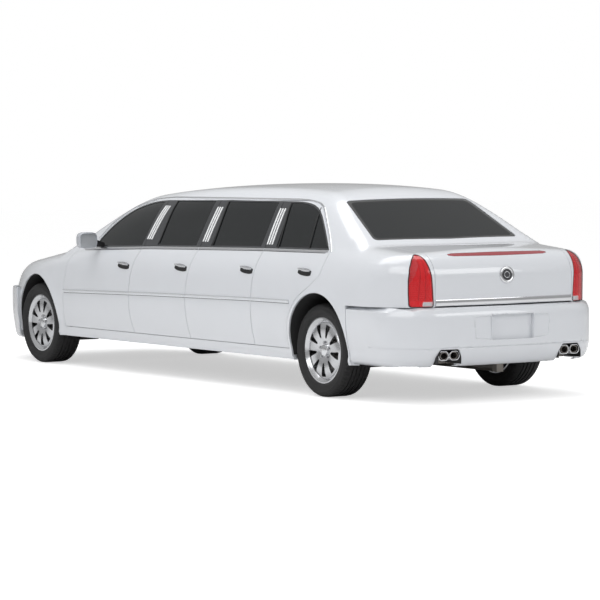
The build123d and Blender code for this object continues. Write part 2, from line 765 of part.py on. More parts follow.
for number in (1, 2, 3, 4):
    start, steps = door_steps(number, shut_gap / 2)
    with BuildPart() as door:
        add(door_bar)
        add(side_face(start, steps), mode=Mode.INTERSECT)
        add(low_relief(number, shut_gap / 2), mode=Mode.SUBTRACT)
        add(high_relief(number, shut_gap / 2), mode=Mode.SUBTRACT)
        add(side_face(*window_steps(number, 0)), mode=Mode.SUBTRACT)
        axis_y = hinge_y(number)
        for height in hinge_heights:
            low = height - arm_half_height - arm_room
            high = height + arm_half_height + arm_room
            add(box_between(500, hinge_x + 5, axis_y - 250, axis_y, low, high), mode=Mode.SUBTRACT)
            add(box_between(500, hinge_x, axis_y - 1, axis_y + 10, low, high), mode=Mode.SUBTRACT)
            with BuildSketch(Plane.XY.offset(low)):
                with Locations((hinge_x, axis_y)):
                    Circle(hinge_pin_radius + 2.5)
            extrude(amount=high - low, mode=Mode.SUBTRACT)
            with BuildSketch(Plane.XY.offset(height - pin_reach - 1)):
                with Locations((hinge_x, axis_y)):
                    Circle(hinge_pin_radius + shaft_gap)
            extrude(amount=2 * pin_reach + 2, mode=Mode.SUBTRACT)
    with BuildPart() as pane:
        add(side_glass)
        add(side_face(*window_steps(number, pane_gap)), mode=Mode.INTERSECT)
    finish(door.part, f"left_door_{number}")
    finish(mirror(door.part, about=Plane.YZ), f"right_door_{number}")
    finish(pane.part, f"left_door_glass_{number}")
    finish(mirror(pane.part, about=Plane.YZ), f"right_door_glass_{number}")


# ================================================================ glass at the ends
with BuildPart() as windscreen:
    add(behind_screen(glass_depth))
    add(behind_screen(glass_depth + glass_thick), mode=Mode.SUBTRACT)
    add(pane_prism(screen_plane, screen_rise, screen_foot, screen_head, seat_gap), mode=Mode.INTERSECT)
finish(windscreen.part, "windscreen")

with BuildPart() as rear_window:
    add(ahead_of_backlight(glass_depth))
    add(ahead_of_backlight(glass_depth + glass_thick), mode=Mode.SUBTRACT)
    add(pane_prism(light_plane, backlight_rise, light_foot, light_head, seat_gap), mode=Mode.INTERSECT)
finish(rear_window.part, "rear_window")

# ================================================================ front wings and bonnet
with BuildPart() as front_wings:
    add(upper_body)
    add(wing_region(0), mode=Mode.INTERSECT)
    add(wheel_well(front_axle_y, housing_radius + liner_thick + seat_gap, front_housing_in), mode=Mode.SUBTRACT)
    add(
        box_between(-wing_rear_x, wing_rear_x, front_axle_y + housing_radius - 60, 0, 0, 900),
        mode=Mode.SUBTRACT,
    )
    mirror(about=Plane.YZ)
finish(front_wings.part, "front_wings")

bonnet_skin = upper_body & under_bonnet(0)
with BuildPart() as bonnet:
    add(bonnet_skin)
    add(under_bonnet(bonnet_thick), mode=Mode.SUBTRACT)
    add(box_between(-wing_inner_x + 7, wing_inner_x - 7, nose_y, bonnet_rear_y, 700, 2000), mode=Mode.INTERSECT)
    for side in (-1, 1):
        add(lug_arm(side, bonnet_hinge_x, bonnet_hinge_y, bonnet_hinge_z, 46))
finish(bonnet.part, "bonnet")

# ================================================================ boot lid
lid_low_z = bumper_top_z + shut_gap
with BuildPart() as boot_lid:
    add(upper_body)
    add(box_between(-lid_half_x, lid_half_x, lid_front_y, tail_y, lid_low_z, 2000), mode=Mode.INTERSECT)
    add(box_between(-wide, wide, 0, tail_face_y - 125, 0, 2000) & under_deck(lid_thick), mode=Mode.SUBTRACT)
    add(box_between(-wide, wide, 0, tail_face_y - 62, 0, 975), mode=Mode.SUBTRACT)
    add(stop_lamp_bar(seat_gap), mode=Mode.SUBTRACT)
    for side in (-1, 1):
        add(lug_arm(side, lid_hinge_x, lid_hinge_y, lid_hinge_z, 40))
finish(boot_lid.part, "boot_lid")

# ---------------------------------------------------------------- front frame and suspension sizes
rail_in_x = 360
rail_out_x = 430
rail_low_z = 400
rail_high_z = 480
support_y = nose_y + 200
tower_z = 822
strut_x = 575
strut_radius = 25
kingpin_x = 700
kingpin_radius = 12
ball_low_z = axle_z - 150
ball_high_z = axle_z + 150
pin_half = 22

tip_x = 541
tip_y = tail_y - 45
tip_z = 352
tip_spread = 42
tip_half = (34, 27)
tip_room = 13

# ================================================================ bumpers
plate_hole_x = 178      # number-plate screws, sideways and upwards
plate_hole_z = 121
plate_hole_radius = 3.5
plate_hole_deep = 30
recess_half = 190       # flat recess for the rear plate
recess_low_z = 448
recess_high_z = 632
recess_y = tail_y - 28
rear_plate_z = 540
front_plate_z = 490
with BuildPart() as front_bumper:
    add(lower_body)
    add(box_between(-wide, wide, nose_y - 50, wing_split_y - shut_gap / 2, 0, wing_front_split_z - 4), mode=Mode.INTERSECT)
    add(box_between(-640, 640, support_y - 40, front_axle_y, 0, 2000), mode=Mode.SUBTRACT)
    add(box_between(-855, 855, nose_y + 420, front_axle_y, 0, 2000), mode=Mode.SUBTRACT)
    add(front_well, mode=Mode.SUBTRACT)
    with BuildSketch(Plane.XZ.offset(-nose_y + 10)):
        with Locations((0, front_plate_z)):
            with GridLocations(plate_hole_x, 0, 2, 1):
                Circle(plate_hole_radius)
    extrude(amount=-(plate_hole_deep + 10), mode=Mode.SUBTRACT)
finish(front_bumper.part, "front_bumper")

with BuildPart() as rear_bumper:
    add(lower_body)
    add(box_between(-wide, wide, rear_axle_y + 395 + 4, tail_y + 50, 0, bumper_top_z), mode=Mode.INTERSECT)
    add(box_between(-720, 720, rear_axle_y, tail_y - 130, 0, 2000), mode=Mode.SUBTRACT)
    add(box_between(-860, 860, rear_axle_y, tail_y - 330, 0, 2000), mode=Mode.SUBTRACT)
    add(rear_well, mode=Mode.SUBTRACT)
    notch_half = tip_spread + tip_half[0] + tip_room
    notch = box_between(tip_x - notch_half, tip_x + notch_half, tail_y - 350, tail_y + 50, 0, tip_z + tip_half[1] + tip_room)
    add(both_sides(notch), mode=Mode.SUBTRACT)
    add(
        box_between(-recess_half, recess_half, recess_y, tail_y + 50, recess_low_z, recess_high_z),
        mode=Mode.SUBTRACT,
    )
    with BuildSketch(Plane.XZ.offset(-recess_y - 10)):
        with Locations((0, rear_plate_z)):
            with GridLocations(plate_hole_x, plate_hole_z, 2, 2):
                Circle(plate_hole_radius)
    extrude(amount=plate_hole_deep + 10, mode=Mode.SUBTRACT)
finish(rear_bumper.part, "rear_bumper")

# ================================================================ floor
kick_y = rear_axle_y - 470      # where the floor steps up over the rear axle
with BuildPart() as floor_pan:
    floor_half = sill_x - door_thick
    add(box_between(-floor_half, floor_half, bulkhead_y, kick_y + 40, floor_top_z - 50, floor_top_z))
    add(box_between(-floor_half, floor_half, kick_y, kick_y + 40, floor_top_z - 50, boot_floor_z))
    add(box_between(-floor_half, floor_half, kick_y, cabin_rear_y, boot_floor_z - 40, boot_floor_z))
    add(box_between(-719, 719, boot_front_y, tail_y - 130, boot_floor_z - 40, boot_floor_z))
    add(rear_well, mode=Mode.SUBTRACT)
    add(body_shell.part, mode=Mode.SUBTRACT)
finish(floor_pan.part, "floor_pan")


# ================================================================ front frame
with BuildPart() as front_frame:
    for side in (-1, 1):
        low_x, high_x = sorted((side * rail_in_x, side * rail_out_x))
        add(box_between(low_x, high_x, support_y, bulkhead_y - 40, rail_low_z, rail_high_z))
        low_x, high_x = sorted((side * rail_out_x, side * (rail_out_x + 12)))
        add(box_between(low_x, high_x, front_axle_y - 450, bulkhead_y - 40, rail_low_z, tower_z + 20))
        low_x, high_x = sorted((side * rail_out_x, side * (strut_x + 45)))
        add(box_between(low_x, high_x, front_axle_y - 70, front_axle_y + 70, tower_z, tower_z + 20))
    add(box_between(-rail_out_x, rail_out_x, front_axle_y - 120, front_axle_y + 120, 250, 330))
    for side in (-1, 1):
        low_x, high_x = sorted((side * rail_in_x, side * rail_out_x))
        add(box_between(low_x, high_x, front_axle_y - 60, front_axle_y + 60, 300, rail_low_z + 10))
    add(box_between(-600, 600, support_y - 40, support_y, 330, 740))
finish(front_frame.part, "front_frame")

# ================================================================ wheels
hub_face_x = half_track + rim_face_x        # outer face of the spokes
spindle_end_x = half_track + 60
spindle_start_x = half_track - 30
well_radius = rim_radius - barrel_wall - 4
wheel_places = (
    ("front_left", front_axle_y, 1), ("front_right", front_axle_y, -1),
    ("rear_left", rear_axle_y, 1), ("rear_right", rear_axle_y, -1),
)


def turned(outline, axle_y):
    # Left-hand ring turned about a wheel's axle from (x, radius) corners.
    with BuildPart() as ring:
        with BuildSketch(Plane(origin=(0, axle_y, axle_z), x_dir=(1, 0, 0), z_dir=(0, -1, 0))):
            with BuildLine():
                Polyline(*outline, close=True)
            make_face()
        revolve(axis=Axis((0, axle_y, axle_z), (1, 0, 0)), revolution_arc=360)
    return ring.part


def tyre_outline():
    # Cross-section of the tyre from bead to bead round the tread.
    bead = rim_radius + seat_gap
    wall = (rim_radius + tyre_radius) / 2
    c = half_track
    lip = rim_flange_radius + 1
    half = [
        (rim_half_width - 8, bead), (rim_half_width - 8, lip), (tyre_half_width - 5, lip + 5),
        (tyre_half_width, wall), (tyre_half_width - 6, tyre_radius - 14), (tread_half_width, tyre_radius),
    ]
    return [(c - x, r) for x, r in half] + [(c + x, r) for x, r in reversed(half)]


def rim(axle_y):
    # Barrel, nine broad spokes and a hub that turns on the spindle.
    c = half_track
    barrel = [
        (c - rim_half_width, rim_flange_radius), (c - rim_half_width, rim_radius - barrel_wall),
        (c + rim_half_width, rim_radius - barrel_wall), (c + rim_half_width, rim_flange_radius),
        (c + rim_half_width - 7, rim_flange_radius), (c + rim_half_width - 7, rim_radius),
        (c - rim_half_width + 7, rim_radius), (c - rim_half_width + 7, rim_flange_radius),
    ]
    hub = [
        (hub_face_x - 75, spindle_radius + shaft_gap), (spindle_end_x + 4, spindle_radius + shaft_gap),
        (spindle_end_x + 4, 0), (hub_face_x - 12, 0), (hub_face_x - 16, hub_radius), (hub_face_x - 75, hub_radius),
    ]
    with BuildPart() as wheel:
        add(turned(barrel, axle_y))
        add(turned(hub, axle_y))
        with BuildSketch(Plane(origin=(hub_face_x - 20 - spoke_depth, axle_y, axle_z), x_dir=(0, 1, 0), z_dir=(1, 0, 0))):
            with PolarLocations((hub_radius + well_radius) / 2, spoke_count):
                Rectangle(well_radius - hub_radius + 24, spoke_width)
        extrude(amount=spoke_depth)
    return wheel.part


left_wheels = {}
for axle_y in (front_axle_y, rear_axle_y):
    left_wheels[axle_y] = (rim(axle_y), turned(tyre_outline(), axle_y))
for place, axle_y, side in wheel_places:
    for kind, piece in zip(("rim", "tyre"), left_wheels[axle_y]):
        finish(piece if side > 0 else mirror(piece, about=Plane.YZ), f"{place}_{kind}")

# ================================================================ knuckles and front suspension
with BuildPart() as left_knuckle:
    with BuildSketch(Plane.XY.offset(ball_low_z + 16)):
        with Locations((kingpin_x, front_axle_y)):
            Rectangle(50, 70)
    extrude(amount=ball_high_z - ball_low_z - 32)
    with BuildSketch(Plane.YZ.offset(kingpin_x)):
        with Locations((front_axle_y, axle_z)):
            Circle(spindle_radius)
    extrude(amount=spindle_end_x - kingpin_x)
    with BuildSketch(Plane.YZ.offset(kingpin_x)):
        with Locations((front_axle_y, axle_z)):
            Circle(60)
    extrude(amount=60)
    with BuildSketch(Plane.XY.offset(0)):
        with Locations((kingpin_x, front_axle_y)):
            Circle(kingpin_radius + shaft_gap)
    extrude(amount=ball_low_z + 16 + 30, mode=Mode.SUBTRACT)
    with BuildSketch(Plane.XY.offset(ball_high_z - 16 - 30)):
        with Locations((kingpin_x, front_axle_y)):
            Circle(kingpin_radius + shaft_gap)
    extrude(amount=400, mode=Mode.SUBTRACT)
finish(left_knuckle.part, "left_knuckle")
finish(mirror(left_knuckle.part, about=Plane.YZ), "right_knuckle")

with BuildPart() as left_arms:
    with BuildSketch(Plane.XY.offset(ball_low_z - 12)):
        with BuildLine():
            Polyline(
                (rail_out_x - 60, front_axle_y - 80), (kingpin_x + 18, front_axle_y - 20),
                (kingpin_x + 18, front_axle_y + 20), (rail_out_x - 60, front_axle_y + 80), close=True,
            )
        make_face()
    extrude(amount=24)
    with BuildSketch(Plane.XY.offset(ball_low_z)):
        with Locations((kingpin_x, front_axle_y)):
            Circle(kingpin_radius)
    extrude(amount=16 + 28)
    add(box_between(rail_in_x, rail_out_x - 40, front_axle_y - 70, front_axle_y + 70, ball_low_z, 250))
    add(box_between(strut_x - 20, kingpin_x + 18, front_axle_y - 16, front_axle_y + 16, ball_high_z - 10, ball_high_z + 10))
    with BuildSketch(Plane.XY.offset(ball_high_z - 16 - 28)):
        with Locations((kingpin_x, front_axle_y)):
            Circle(kingpin_radius)
    extrude(amount=16 + 28)
    with BuildSketch(Plane.XY.offset(ball_high_z - 10)):
        with Locations((strut_x, front_axle_y)):
            Circle(strut_radius)
    extrude(amount=tower_z - ball_high_z + 10)
finish(both_sides(left_arms.part), "front_suspension")

# ================================================================ rear axle
with BuildPart() as rear_axle:
    add(box_between(-600, 600, rear_axle_y - 45, rear_axle_y + 45, axle_z - 30, axle_z + 30))
    for side in (-1, 1):
        with BuildSketch(Plane.YZ.offset(side * 590)):
            with Locations((rear_axle_y, axle_z)):
                Circle(spindle_radius)
        extrude(amount=side * (spindle_end_x - 590))
        with BuildSketch(Plane.YZ.offset(side * 590)):
            with Locations((rear_axle_y, axle_z)):
                Circle(60)
        extrude(amount=side * 130)
        low_x, high_x = sorted((side * 480, side * 560))
        add(box_between(low_x, high_x, kick_y + 40, rear_axle_y + 40, axle_z - 30, axle_z + 20))
finish(rear_axle.part, "rear_axle")


# ================================================================ lamps and grille
with BuildPart() as tail_lamp:
    add(upper_body)
    add(tail_lamp_space(0), mode=Mode.INTERSECT)
finish(both_sides(tail_lamp.part), "tail_lamps")

with BuildPart() as stop_lamp:
    add(upper_body)
    add(stop_lamp_bar(0), mode=Mode.INTERSECT)
finish(stop_lamp.part, "stop_lamp")

grille_half = 330
fascia_low_z = wing_front_split_z
grille_top_z = 792
grille_bars = 7
grille_frame = 16
with BuildPart() as headlamp:
    add(upper_body)
    add(
        box_between(grille_half + seat_gap, wing_inner_x - seat_gap, nose_y, support_y + 130, fascia_low_z, 2000),
        mode=Mode.INTERSECT,
    )
    add(under_bonnet(bonnet_thick + shut_gap), mode=Mode.INTERSECT)
    add(box_between(0, 600, support_y - 40, support_y + 200, 0, 740), mode=Mode.SUBTRACT)
finish(both_sides(headlamp.part), "headlamps")

with BuildPart() as grille:
    add(box_between(-grille_half, grille_half, nose_face_y - 30, support_y - 40, fascia_low_z, grille_top_z))
    add(
        box_between(
            -grille_half + grille_frame, grille_half - grille_frame, nose_face_y - 50, support_y,
            fascia_low_z + grille_frame, grille_top_z - grille_frame,
        ),
        mode=Mode.SUBTRACT,
    )
    add(upper_plan, mode=Mode.INTERSECT)
    step = (grille_top_z - fascia_low_z) / (grille_bars + 1)
    for index in range(grille_bars):
        height = fascia_low_z + (index + 1) * step
        add(box_between(-grille_half + 5, grille_half - 5, nose_face_y + 30, nose_face_y + 60, height - 3, height + 3))
finish(grille.part, "grille")

# ================================================================ door mirrors
mirror_y = rear_axle_y - 3370
mirror_in_x = 932
mirror_out_x = 1105
mirror_low_z = 1018
mirror_high_z = 1156
mirror_half_deep = 46
with BuildPart() as left_mirror:
    add(
        box_between(
            mirror_in_x, mirror_out_x, mirror_y - mirror_half_deep, mirror_y + mirror_half_deep,
            mirror_low_z, mirror_high_z,
        )
    )
    fillet(left_mirror.edges(), 30)
    with BuildSketch(Plane.XZ.offset(-mirror_y - 30)):
        with BuildLine():
            Polyline((960, 1040), (960, 1085), (870, 1068), (890, 1020), close=True)
        make_face()
    extrude(amount=60)
    add(side_wall(-seat_gap, -seat_gap, 200, 200, 300, nose_y, tail_y), mode=Mode.SUBTRACT)
finish(left_mirror.part, "left_mirror")
finish(mirror(left_mirror.part, about=Plane.YZ), "right_mirror")

# ================================================================ seats
# columns: name, cushion's front y, floor under it, spans as (low x, high x)
cushion_top_z = 600
cushion_thick = 190
back_top_z = 1130
back_thick = 150
cushion_long = 500
back_rake = 140
seat_rows = (
    ("front_seats", rear_axle_y - 3260, floor_top_z, ((110, 640), (-640, -110))),
    ("second_row_seat", rear_axle_y - 2300, floor_top_z, ((-640, 640),)),
    ("third_row_seat", rear_axle_y - 1370, floor_top_z, ((-640, 640),)),
    ("rear_seat", rear_axle_y - 420, boot_floor_z, ((-590, 590),)),
)
for name, front_y, base_z, spans in seat_rows:
    with BuildPart() as seat:
        for low_x, high_x in spans:
            rear_y = front_y + cushion_long
            with BuildSketch(Plane.YZ.offset(low_x)):
                with BuildLine():
                    Polyline(
                        (front_y, base_z), (front_y, cushion_top_z - 10), (front_y + 30, cushion_top_z),
                        (rear_y, cushion_top_z - 30), (rear_y + back_rake, back_top_z),
                        (rear_y + back_rake + back_thick - 50, back_top_z), (rear_y + back_thick, cushion_top_z - 80),
                        (rear_y + back_thick - 20, base_z), close=True,
                    )
                make_face()
            extrude(amount=high_x - low_x)
    finish(seat.part, name)

# ================================================================ dashboard and steering wheel
dash_rear_y = rear_axle_y - 3480
wheel_centre = (375, rear_axle_y - 3320, 900)
wheel_tilt = 65          # steering axis above the horizontal would be 90
rim_tube = 14
steering_radius = 190
column_radius = 17
with BuildPart() as dashboard:
    with BuildSketch(Plane.YZ.offset(-740)):
        with BuildLine():
            Polyline(
                (bulkhead_y, 700), (bulkhead_y, 1000), (dash_rear_y - 60, 1000), (dash_rear_y, 950),
                (dash_rear_y - 20, 700), close=True,
            )
        make_face()
    extrude(amount=1480)
    add(front_pocket, mode=Mode.SUBTRACT)
    add(body_shell.part, mode=Mode.SUBTRACT)
finish(dashboard.part, "dashboard")

tilt = radians(wheel_tilt)
wheel_plane = Plane(origin=wheel_centre, x_dir=(1, 0, 0), z_dir=(0, sin(tilt), cos(tilt)))
with BuildPart() as steering_column:
    with BuildSketch(wheel_plane.offset(-20)):
        Circle(column_radius)
    extrude(amount=-230)
    add(dashboard.part, mode=Mode.SUBTRACT)
finish(steering_column.part, "steering_column")

with BuildPart() as steering_wheel:
    with BuildSketch(Plane(origin=wheel_centre, x_dir=(1, 0, 0), z_dir=wheel_plane.y_dir)):
        with Locations((steering_radius, 0)):
            Circle(rim_tube)
    revolve(axis=Axis(wheel_centre, tuple(wheel_plane.z_dir)), revolution_arc=360)
    with BuildSketch(wheel_plane.offset(-15)):
        Circle(62)
        with PolarLocations((steering_radius + 40) / 2, 4, start_angle=45):
            Rectangle(steering_radius - 50, 26)
    extrude(amount=22)
    with BuildSketch(wheel_plane.offset(-45)):
        Circle(34)
    extrude(amount=32)
    with BuildSketch(wheel_plane.offset(-60)):
        Circle(column_radius + shaft_gap)
    extrude(amount=50, mode=Mode.SUBTRACT)
finish(steering_wheel.part, "steering_wheel")

# ================================================================ engine, tank and exhaust
with BuildPart() as engine:
    add(box_between(-rail_in_x + 10, rail_in_x - 10, front_axle_y - 330, front_axle_y + 300, 330, 850))
    add(under_bonnet(bonnet_thick + 30), mode=Mode.INTERSECT)
finish(engine.part, "engine")

floor_low_z = floor_top_z - 50
with BuildPart() as fuel_tank:
    add(box_between(-60, 470, kick_y - 500, kick_y + 30, floor_low_z - 110, floor_low_z))
finish(fuel_tank.part, "fuel_tank")

pipe_radius = 30
pipe_z = 205
pipe_x = -230
silencer_y = tail_y - 420
silencer_half = 640
silencer_low_z = 285
silencer_high_z = 412
riser_y = silencer_y - 80       # where the pipe climbs from under the axle to the silencer
riser_top_z = 345
with BuildPart() as exhaust:
    with BuildSketch(Plane.XZ.offset(-(front_axle_y + 300))):
        with Locations((pipe_x, pipe_z)):
            Circle(pipe_radius)
    extrude(amount=-(riser_y + pipe_radius - front_axle_y - 300))
    with BuildSketch(Plane.XY.offset(pipe_z - pipe_radius)):
        with Locations((pipe_x, riser_y)):
            Rectangle(2 * pipe_radius, 2 * pipe_radius)
    extrude(amount=riser_top_z + 2 * pipe_radius - pipe_z)
    with BuildSketch(Plane.XZ.offset(-riser_y)):
        with Locations((pipe_x, riser_top_z)):
            Circle(pipe_radius - 2)
    extrude(amount=-(silencer_y - riser_y + 20))
    add(box_between(pipe_x - 20, pipe_x + 20, front_axle_y + 260, front_axle_y + 330, pipe_z, 330))
    for hanger_y in (rear_axle_y - 2800, rear_axle_y - 1400, rear_axle_y - 500):
        add(box_between(pipe_x - 12, pipe_x + 12, hanger_y, hanger_y + 30, pipe_z + 10, floor_low_z))
    add(box_between(
        -silencer_half, silencer_half, silencer_y, silencer_y + 190, silencer_low_z, silencer_high_z
    ))
    for hanger_x in (-500, 500):
        add(box_between(
            hanger_x - 12, hanger_x + 12, silencer_y + 80, silencer_y + 110, silencer_high_z - 10, boot_floor_z - 40
        ))
    for side in (-1, 1):
        for lean in (-1, 1):
            with BuildSketch(Plane.XZ.offset(-(silencer_y + 180))):
                with Locations((side * tip_x + lean * tip_spread, tip_z - 50)):
                    Circle(18)
            with BuildSketch(Plane.XZ.offset(-(tip_y - 160))):
                with Locations((side * tip_x + lean * tip_spread, tip_z)):
                    Circle(22)
            loft()
            with BuildSketch(Plane.XZ.offset(-(tip_y - 165))):
                with Locations((side * tip_x + lean * tip_spread, tip_z)):
                    Ellipse(*tip_half)
            extrude(amount=-(165))
            with BuildSketch(Plane.XZ.offset(-(tip_y - 120))):
                with Locations((side * tip_x + lean * tip_spread, tip_z)):
                    Ellipse(tip_half[0] - 4, tip_half[1] - 4)
            extrude(amount=-(160), mode=Mode.SUBTRACT)
finish(exhaust.part, "exhaust")

# ================================================================ wheel housings
with BuildPart() as housings:
    for axle_y, radius, housing_in in (
        (front_axle_y, housing_radius, front_housing_in), (rear_axle_y, arch_radius + 10, rear_housing_in),
    ):
        for side in (-1, 1):
            with BuildSketch(Plane.YZ.offset(side * (housing_in - liner_thick))):
                with Locations((axle_y, arch_centre_z)):
                    Circle(radius + liner_thick)
                    Rectangle(120, 260, mode=Mode.SUBTRACT)
            extrude(amount=side * liner_thick)
            with BuildSketch(Plane.YZ.offset(side * housing_in)):
                with Locations((axle_y, arch_centre_z)):
                    Circle(radius + liner_thick)
                    Circle(radius, mode=Mode.SUBTRACT)
            extrude(amount=side * (half_width - housing_lip - housing_in))
    add(box_between(-wide, wide, nose_y, tail_y, -200, floor_top_z), mode=Mode.SUBTRACT)
    for neighbour in (body_shell, floor_pan, front_frame, rear_axle, front_bumper, rear_bumper):
        add(neighbour.part, mode=Mode.SUBTRACT)
    add(both_sides(left_arms.part), mode=Mode.SUBTRACT)
    add(front_wings.part, mode=Mode.SUBTRACT)
sliver_volume = 1e6
finish(Compound([piece for piece in housings.part.solids() if piece.volume > sliver_volume]), "wheel_housings")
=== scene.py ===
import math

import bmesh
import bpy
import numpy as np
from mathutils import Matrix, Vector


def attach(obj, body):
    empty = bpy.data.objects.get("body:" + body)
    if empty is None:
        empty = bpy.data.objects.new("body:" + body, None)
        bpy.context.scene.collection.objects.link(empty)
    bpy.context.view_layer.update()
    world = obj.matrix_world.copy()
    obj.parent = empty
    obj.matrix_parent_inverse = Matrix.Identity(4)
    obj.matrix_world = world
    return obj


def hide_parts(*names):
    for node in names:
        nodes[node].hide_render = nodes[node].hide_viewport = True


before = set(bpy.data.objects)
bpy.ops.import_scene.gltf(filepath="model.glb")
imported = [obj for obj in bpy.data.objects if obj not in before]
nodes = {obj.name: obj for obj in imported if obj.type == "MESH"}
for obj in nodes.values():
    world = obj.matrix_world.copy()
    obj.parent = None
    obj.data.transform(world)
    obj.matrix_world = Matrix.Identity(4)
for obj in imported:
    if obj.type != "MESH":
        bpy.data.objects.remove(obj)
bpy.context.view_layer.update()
print("frame loaded", len(nodes), "nodes")

# The car in metres: x to its left, y to its tail, z up. Pairs are (y, z).
car = {
    "halfWidth": .95, "floor": .255, "noseY": -3.24, "tailY": 3.225,
    "frontAxle": -2.295, "rearAxle": 2.15, "archRadius": .385, "archHeight": .388,
    "beltWidth": .866, "beltHeight": 1.066, "railWidth": .655, "railHeight": 1.455,
    "screenFoot": (-1.85, 1.04), "screenHead": (-.94, 1.468), "screenSag": .13,
    "lightHead": (1.96, 1.462), "lightFoot": (2.55, 1.142), "lightSag": .06,
    "bumperTop": .695, "bumperNose": -3.3, "bumperTail": 3.3,
}
frontAxle, rearAxle = car["frontAxle"], car["rearAxle"]
flank = {"height": .68, "sillTuck": .045, "sillDrop": .34, "sillWidth": .905, "topTuck": .025,
         "topRise": .295, "narrowest": .8}
flare = {"swell": .009, "reach": .045, "low": .2, "high": .9}
roofLine = ((-1.6, 1.36), (-.95, 1.47), (-.6, 1.507), (-.2, 1.535), (.4, 1.556), (1, 1.56),
            (1.6, 1.546), (1.96, 1.51), (2.4, 1.43))
roofCurve = np.polyfit([y for y, z in roofLine], [z for y, z in roofLine], 5)
roofSink = .0016  # keeps the skin's top within the solid's
bonnet = {"slope": .1554, "top": 1.062, "noseFrom": -2.75, "noseDrop": .32}
deck = {"slope": .0943, "top": 1.12, "ridge": .006, "ridgeWidth": .35}
middleY = .3  # ahead of it the bonnet counts, behind it the deck
nose = {"turnFrom": .5, "turn": .2, "turnHeight": .3, "tuckFrom": .72, "tuck": .9}
tail = {"leanFrom": .9, "lean": 3.4, "under": .02, "ridge": .012, "ridgeSoft": .0004}
# how much each surface falls or draws back with the distance x from the middle:
# even * x^2, and extra * (x - start)^power; slope holds the two factors of its steepness
crowns = {
    "roof": {"even": .1, "extra": 2.4, "start": .5, "power": 2},
    "bonnet": {"even": .075, "extra": 1.15, "start": .7, "power": 2},
    "deck": {"even": .05, "extra": 1.2, "start": .7, "power": 2},
    "nose": {"even": .2, "extra": 6, "start": .5, "power": 3, "slope": (.4, 18)},
    "tail": {"even": .057, "extra": 5.5, "start": .55, "power": 3, "slope": (.114, 16.5)},
    "frontBumper": {"even": .24, "extra": 5.2, "start": .5, "power": 3, "slope": (.48, 15)},
    "rearBumper": {"even": .1, "extra": 4.6, "start": .55, "power": 3, "slope": (.2, 13.8)},
}
# the bumpers' faces draw back below and above two heights; blends with sides, top and foot
bumpers = {
    "frontBumper": {"below": .42, "tuck": .28, "power": 1, "above": .58, "fall": 3.2,
                    "foot": .2, "blends": (.06, .04, .04)},
    "rearBumper": {"below": .43, "tuck": 2.4, "power": 2, "above": .61, "fall": 4.4,
                   "foot": .262, "blends": (.05, .035, .05)},
}
# how far two surfaces round into each other
blends = {"belt": .035, "screen": .05, "light": .06, "rail": .05, "shoulder": .06, "cowl": .012,
          "nose": .09, "tail": .05, "floor": .03}


def past(value, start):
    return np.clip(value - start, 0, None)


def smoothMax(a, b, reach):
    blend = past(reach, np.abs(a - b)) / reach
    return np.maximum(a, b) + blend * blend * reach / 4


def smoothMin(a, b, reach):
    return -smoothMax(-a, -b, reach)


def slopeScale(rise):
    return 1 / np.sqrt(1 + rise * rise)


def crowned(x, name):
    form = crowns[name]
    return form["even"] * x * x + form["extra"] * past(x, form["start"]) ** form["power"]


def crownScale(x, name):
    even, extra = crowns[name]["slope"]
    return slopeScale(even * x + extra * past(x, crowns[name]["start"]) ** 2)


def archFlare(y, z):
    # a soft swelling of the side round both wheel arches
    swell = 0
    for axle in (frontAxle, rearAxle):
        away = np.hypot(y - axle, z - car["archHeight"]) - car["archRadius"]
        swell = swell + flare["swell"] * np.exp(-(past(away, 0) / flare["reach"]) ** 2)
    return swell * (z > flare["low"])


# each field is below zero inside its shape, and close to the distance near the surface
def sideField(x, y, z):
    below = z < flank["height"]
    low = car["halfWidth"] - flank["sillTuck"] * ((flank["height"] - z) / flank["sillDrop"]) ** 2
    high = car["halfWidth"] - flank["topTuck"] * ((z - flank["height"]) / flank["topRise"]) ** 2
    width = np.where(below, np.maximum(low, flank["sillWidth"]),
                     np.maximum(high, flank["narrowest"]))
    lower = x - width - archFlare(y, z) * (z < flare["high"])
    lean = (car["beltWidth"] - car["railWidth"]) / (car["railHeight"] - car["beltHeight"])
    upper = (x - car["beltWidth"] + lean * (z - car["beltHeight"])) * slopeScale(lean)
    return smoothMax(lower, upper, blends["belt"])


def greenhouseField(x, y, z):
    spread = (x / car["halfWidth"]) ** 2
    roofHeight = np.polyval(roofCurve, np.clip(y, roofLine[0][0], roofLine[-1][0]))
    roof = z - roofHeight + crowned(x, "roof") + roofSink
    (footY, footZ), (headY, headZ) = car["screenFoot"], car["screenHead"]
    rise = (headZ - footZ) / (headY - footY)
    screen = (z - footZ - rise * (y - car["screenSag"] * spread - footY)) * slopeScale(rise)
    (topY, topZ), (lowY, lowZ) = car["lightHead"], car["lightFoot"]
    fall = (topZ - lowZ) / (lowY - topY)
    light = (z - topZ + fall * (y + car["lightSag"] * spread - topY)) * slopeScale(fall)
    top = smoothMax(smoothMax(roof, screen, blends["screen"]), light, blends["light"])
    return smoothMax(top, sideField(x, y, z), blends["rail"])


def lowerTop(x, y):
    # the height of the bonnet and of the boot lid
    (footY, footZ), (lowY, lowZ) = car["screenFoot"], car["lightFoot"]
    front = footZ + bonnet["slope"] * (y - footY) - crowned(x, "bonnet")
    drop = past(bonnet["noseFrom"], y)
    front = front - bonnet["noseDrop"] * drop * drop
    ridge = deck["ridge"] * np.exp(-(x / deck["ridgeWidth"]) ** 2)
    rear = lowZ - deck["slope"] * (y - lowY) - crowned(x, "deck") + ridge
    return np.where(y < middleY, np.minimum(front, bonnet["top"]), np.minimum(rear, deck["top"]))


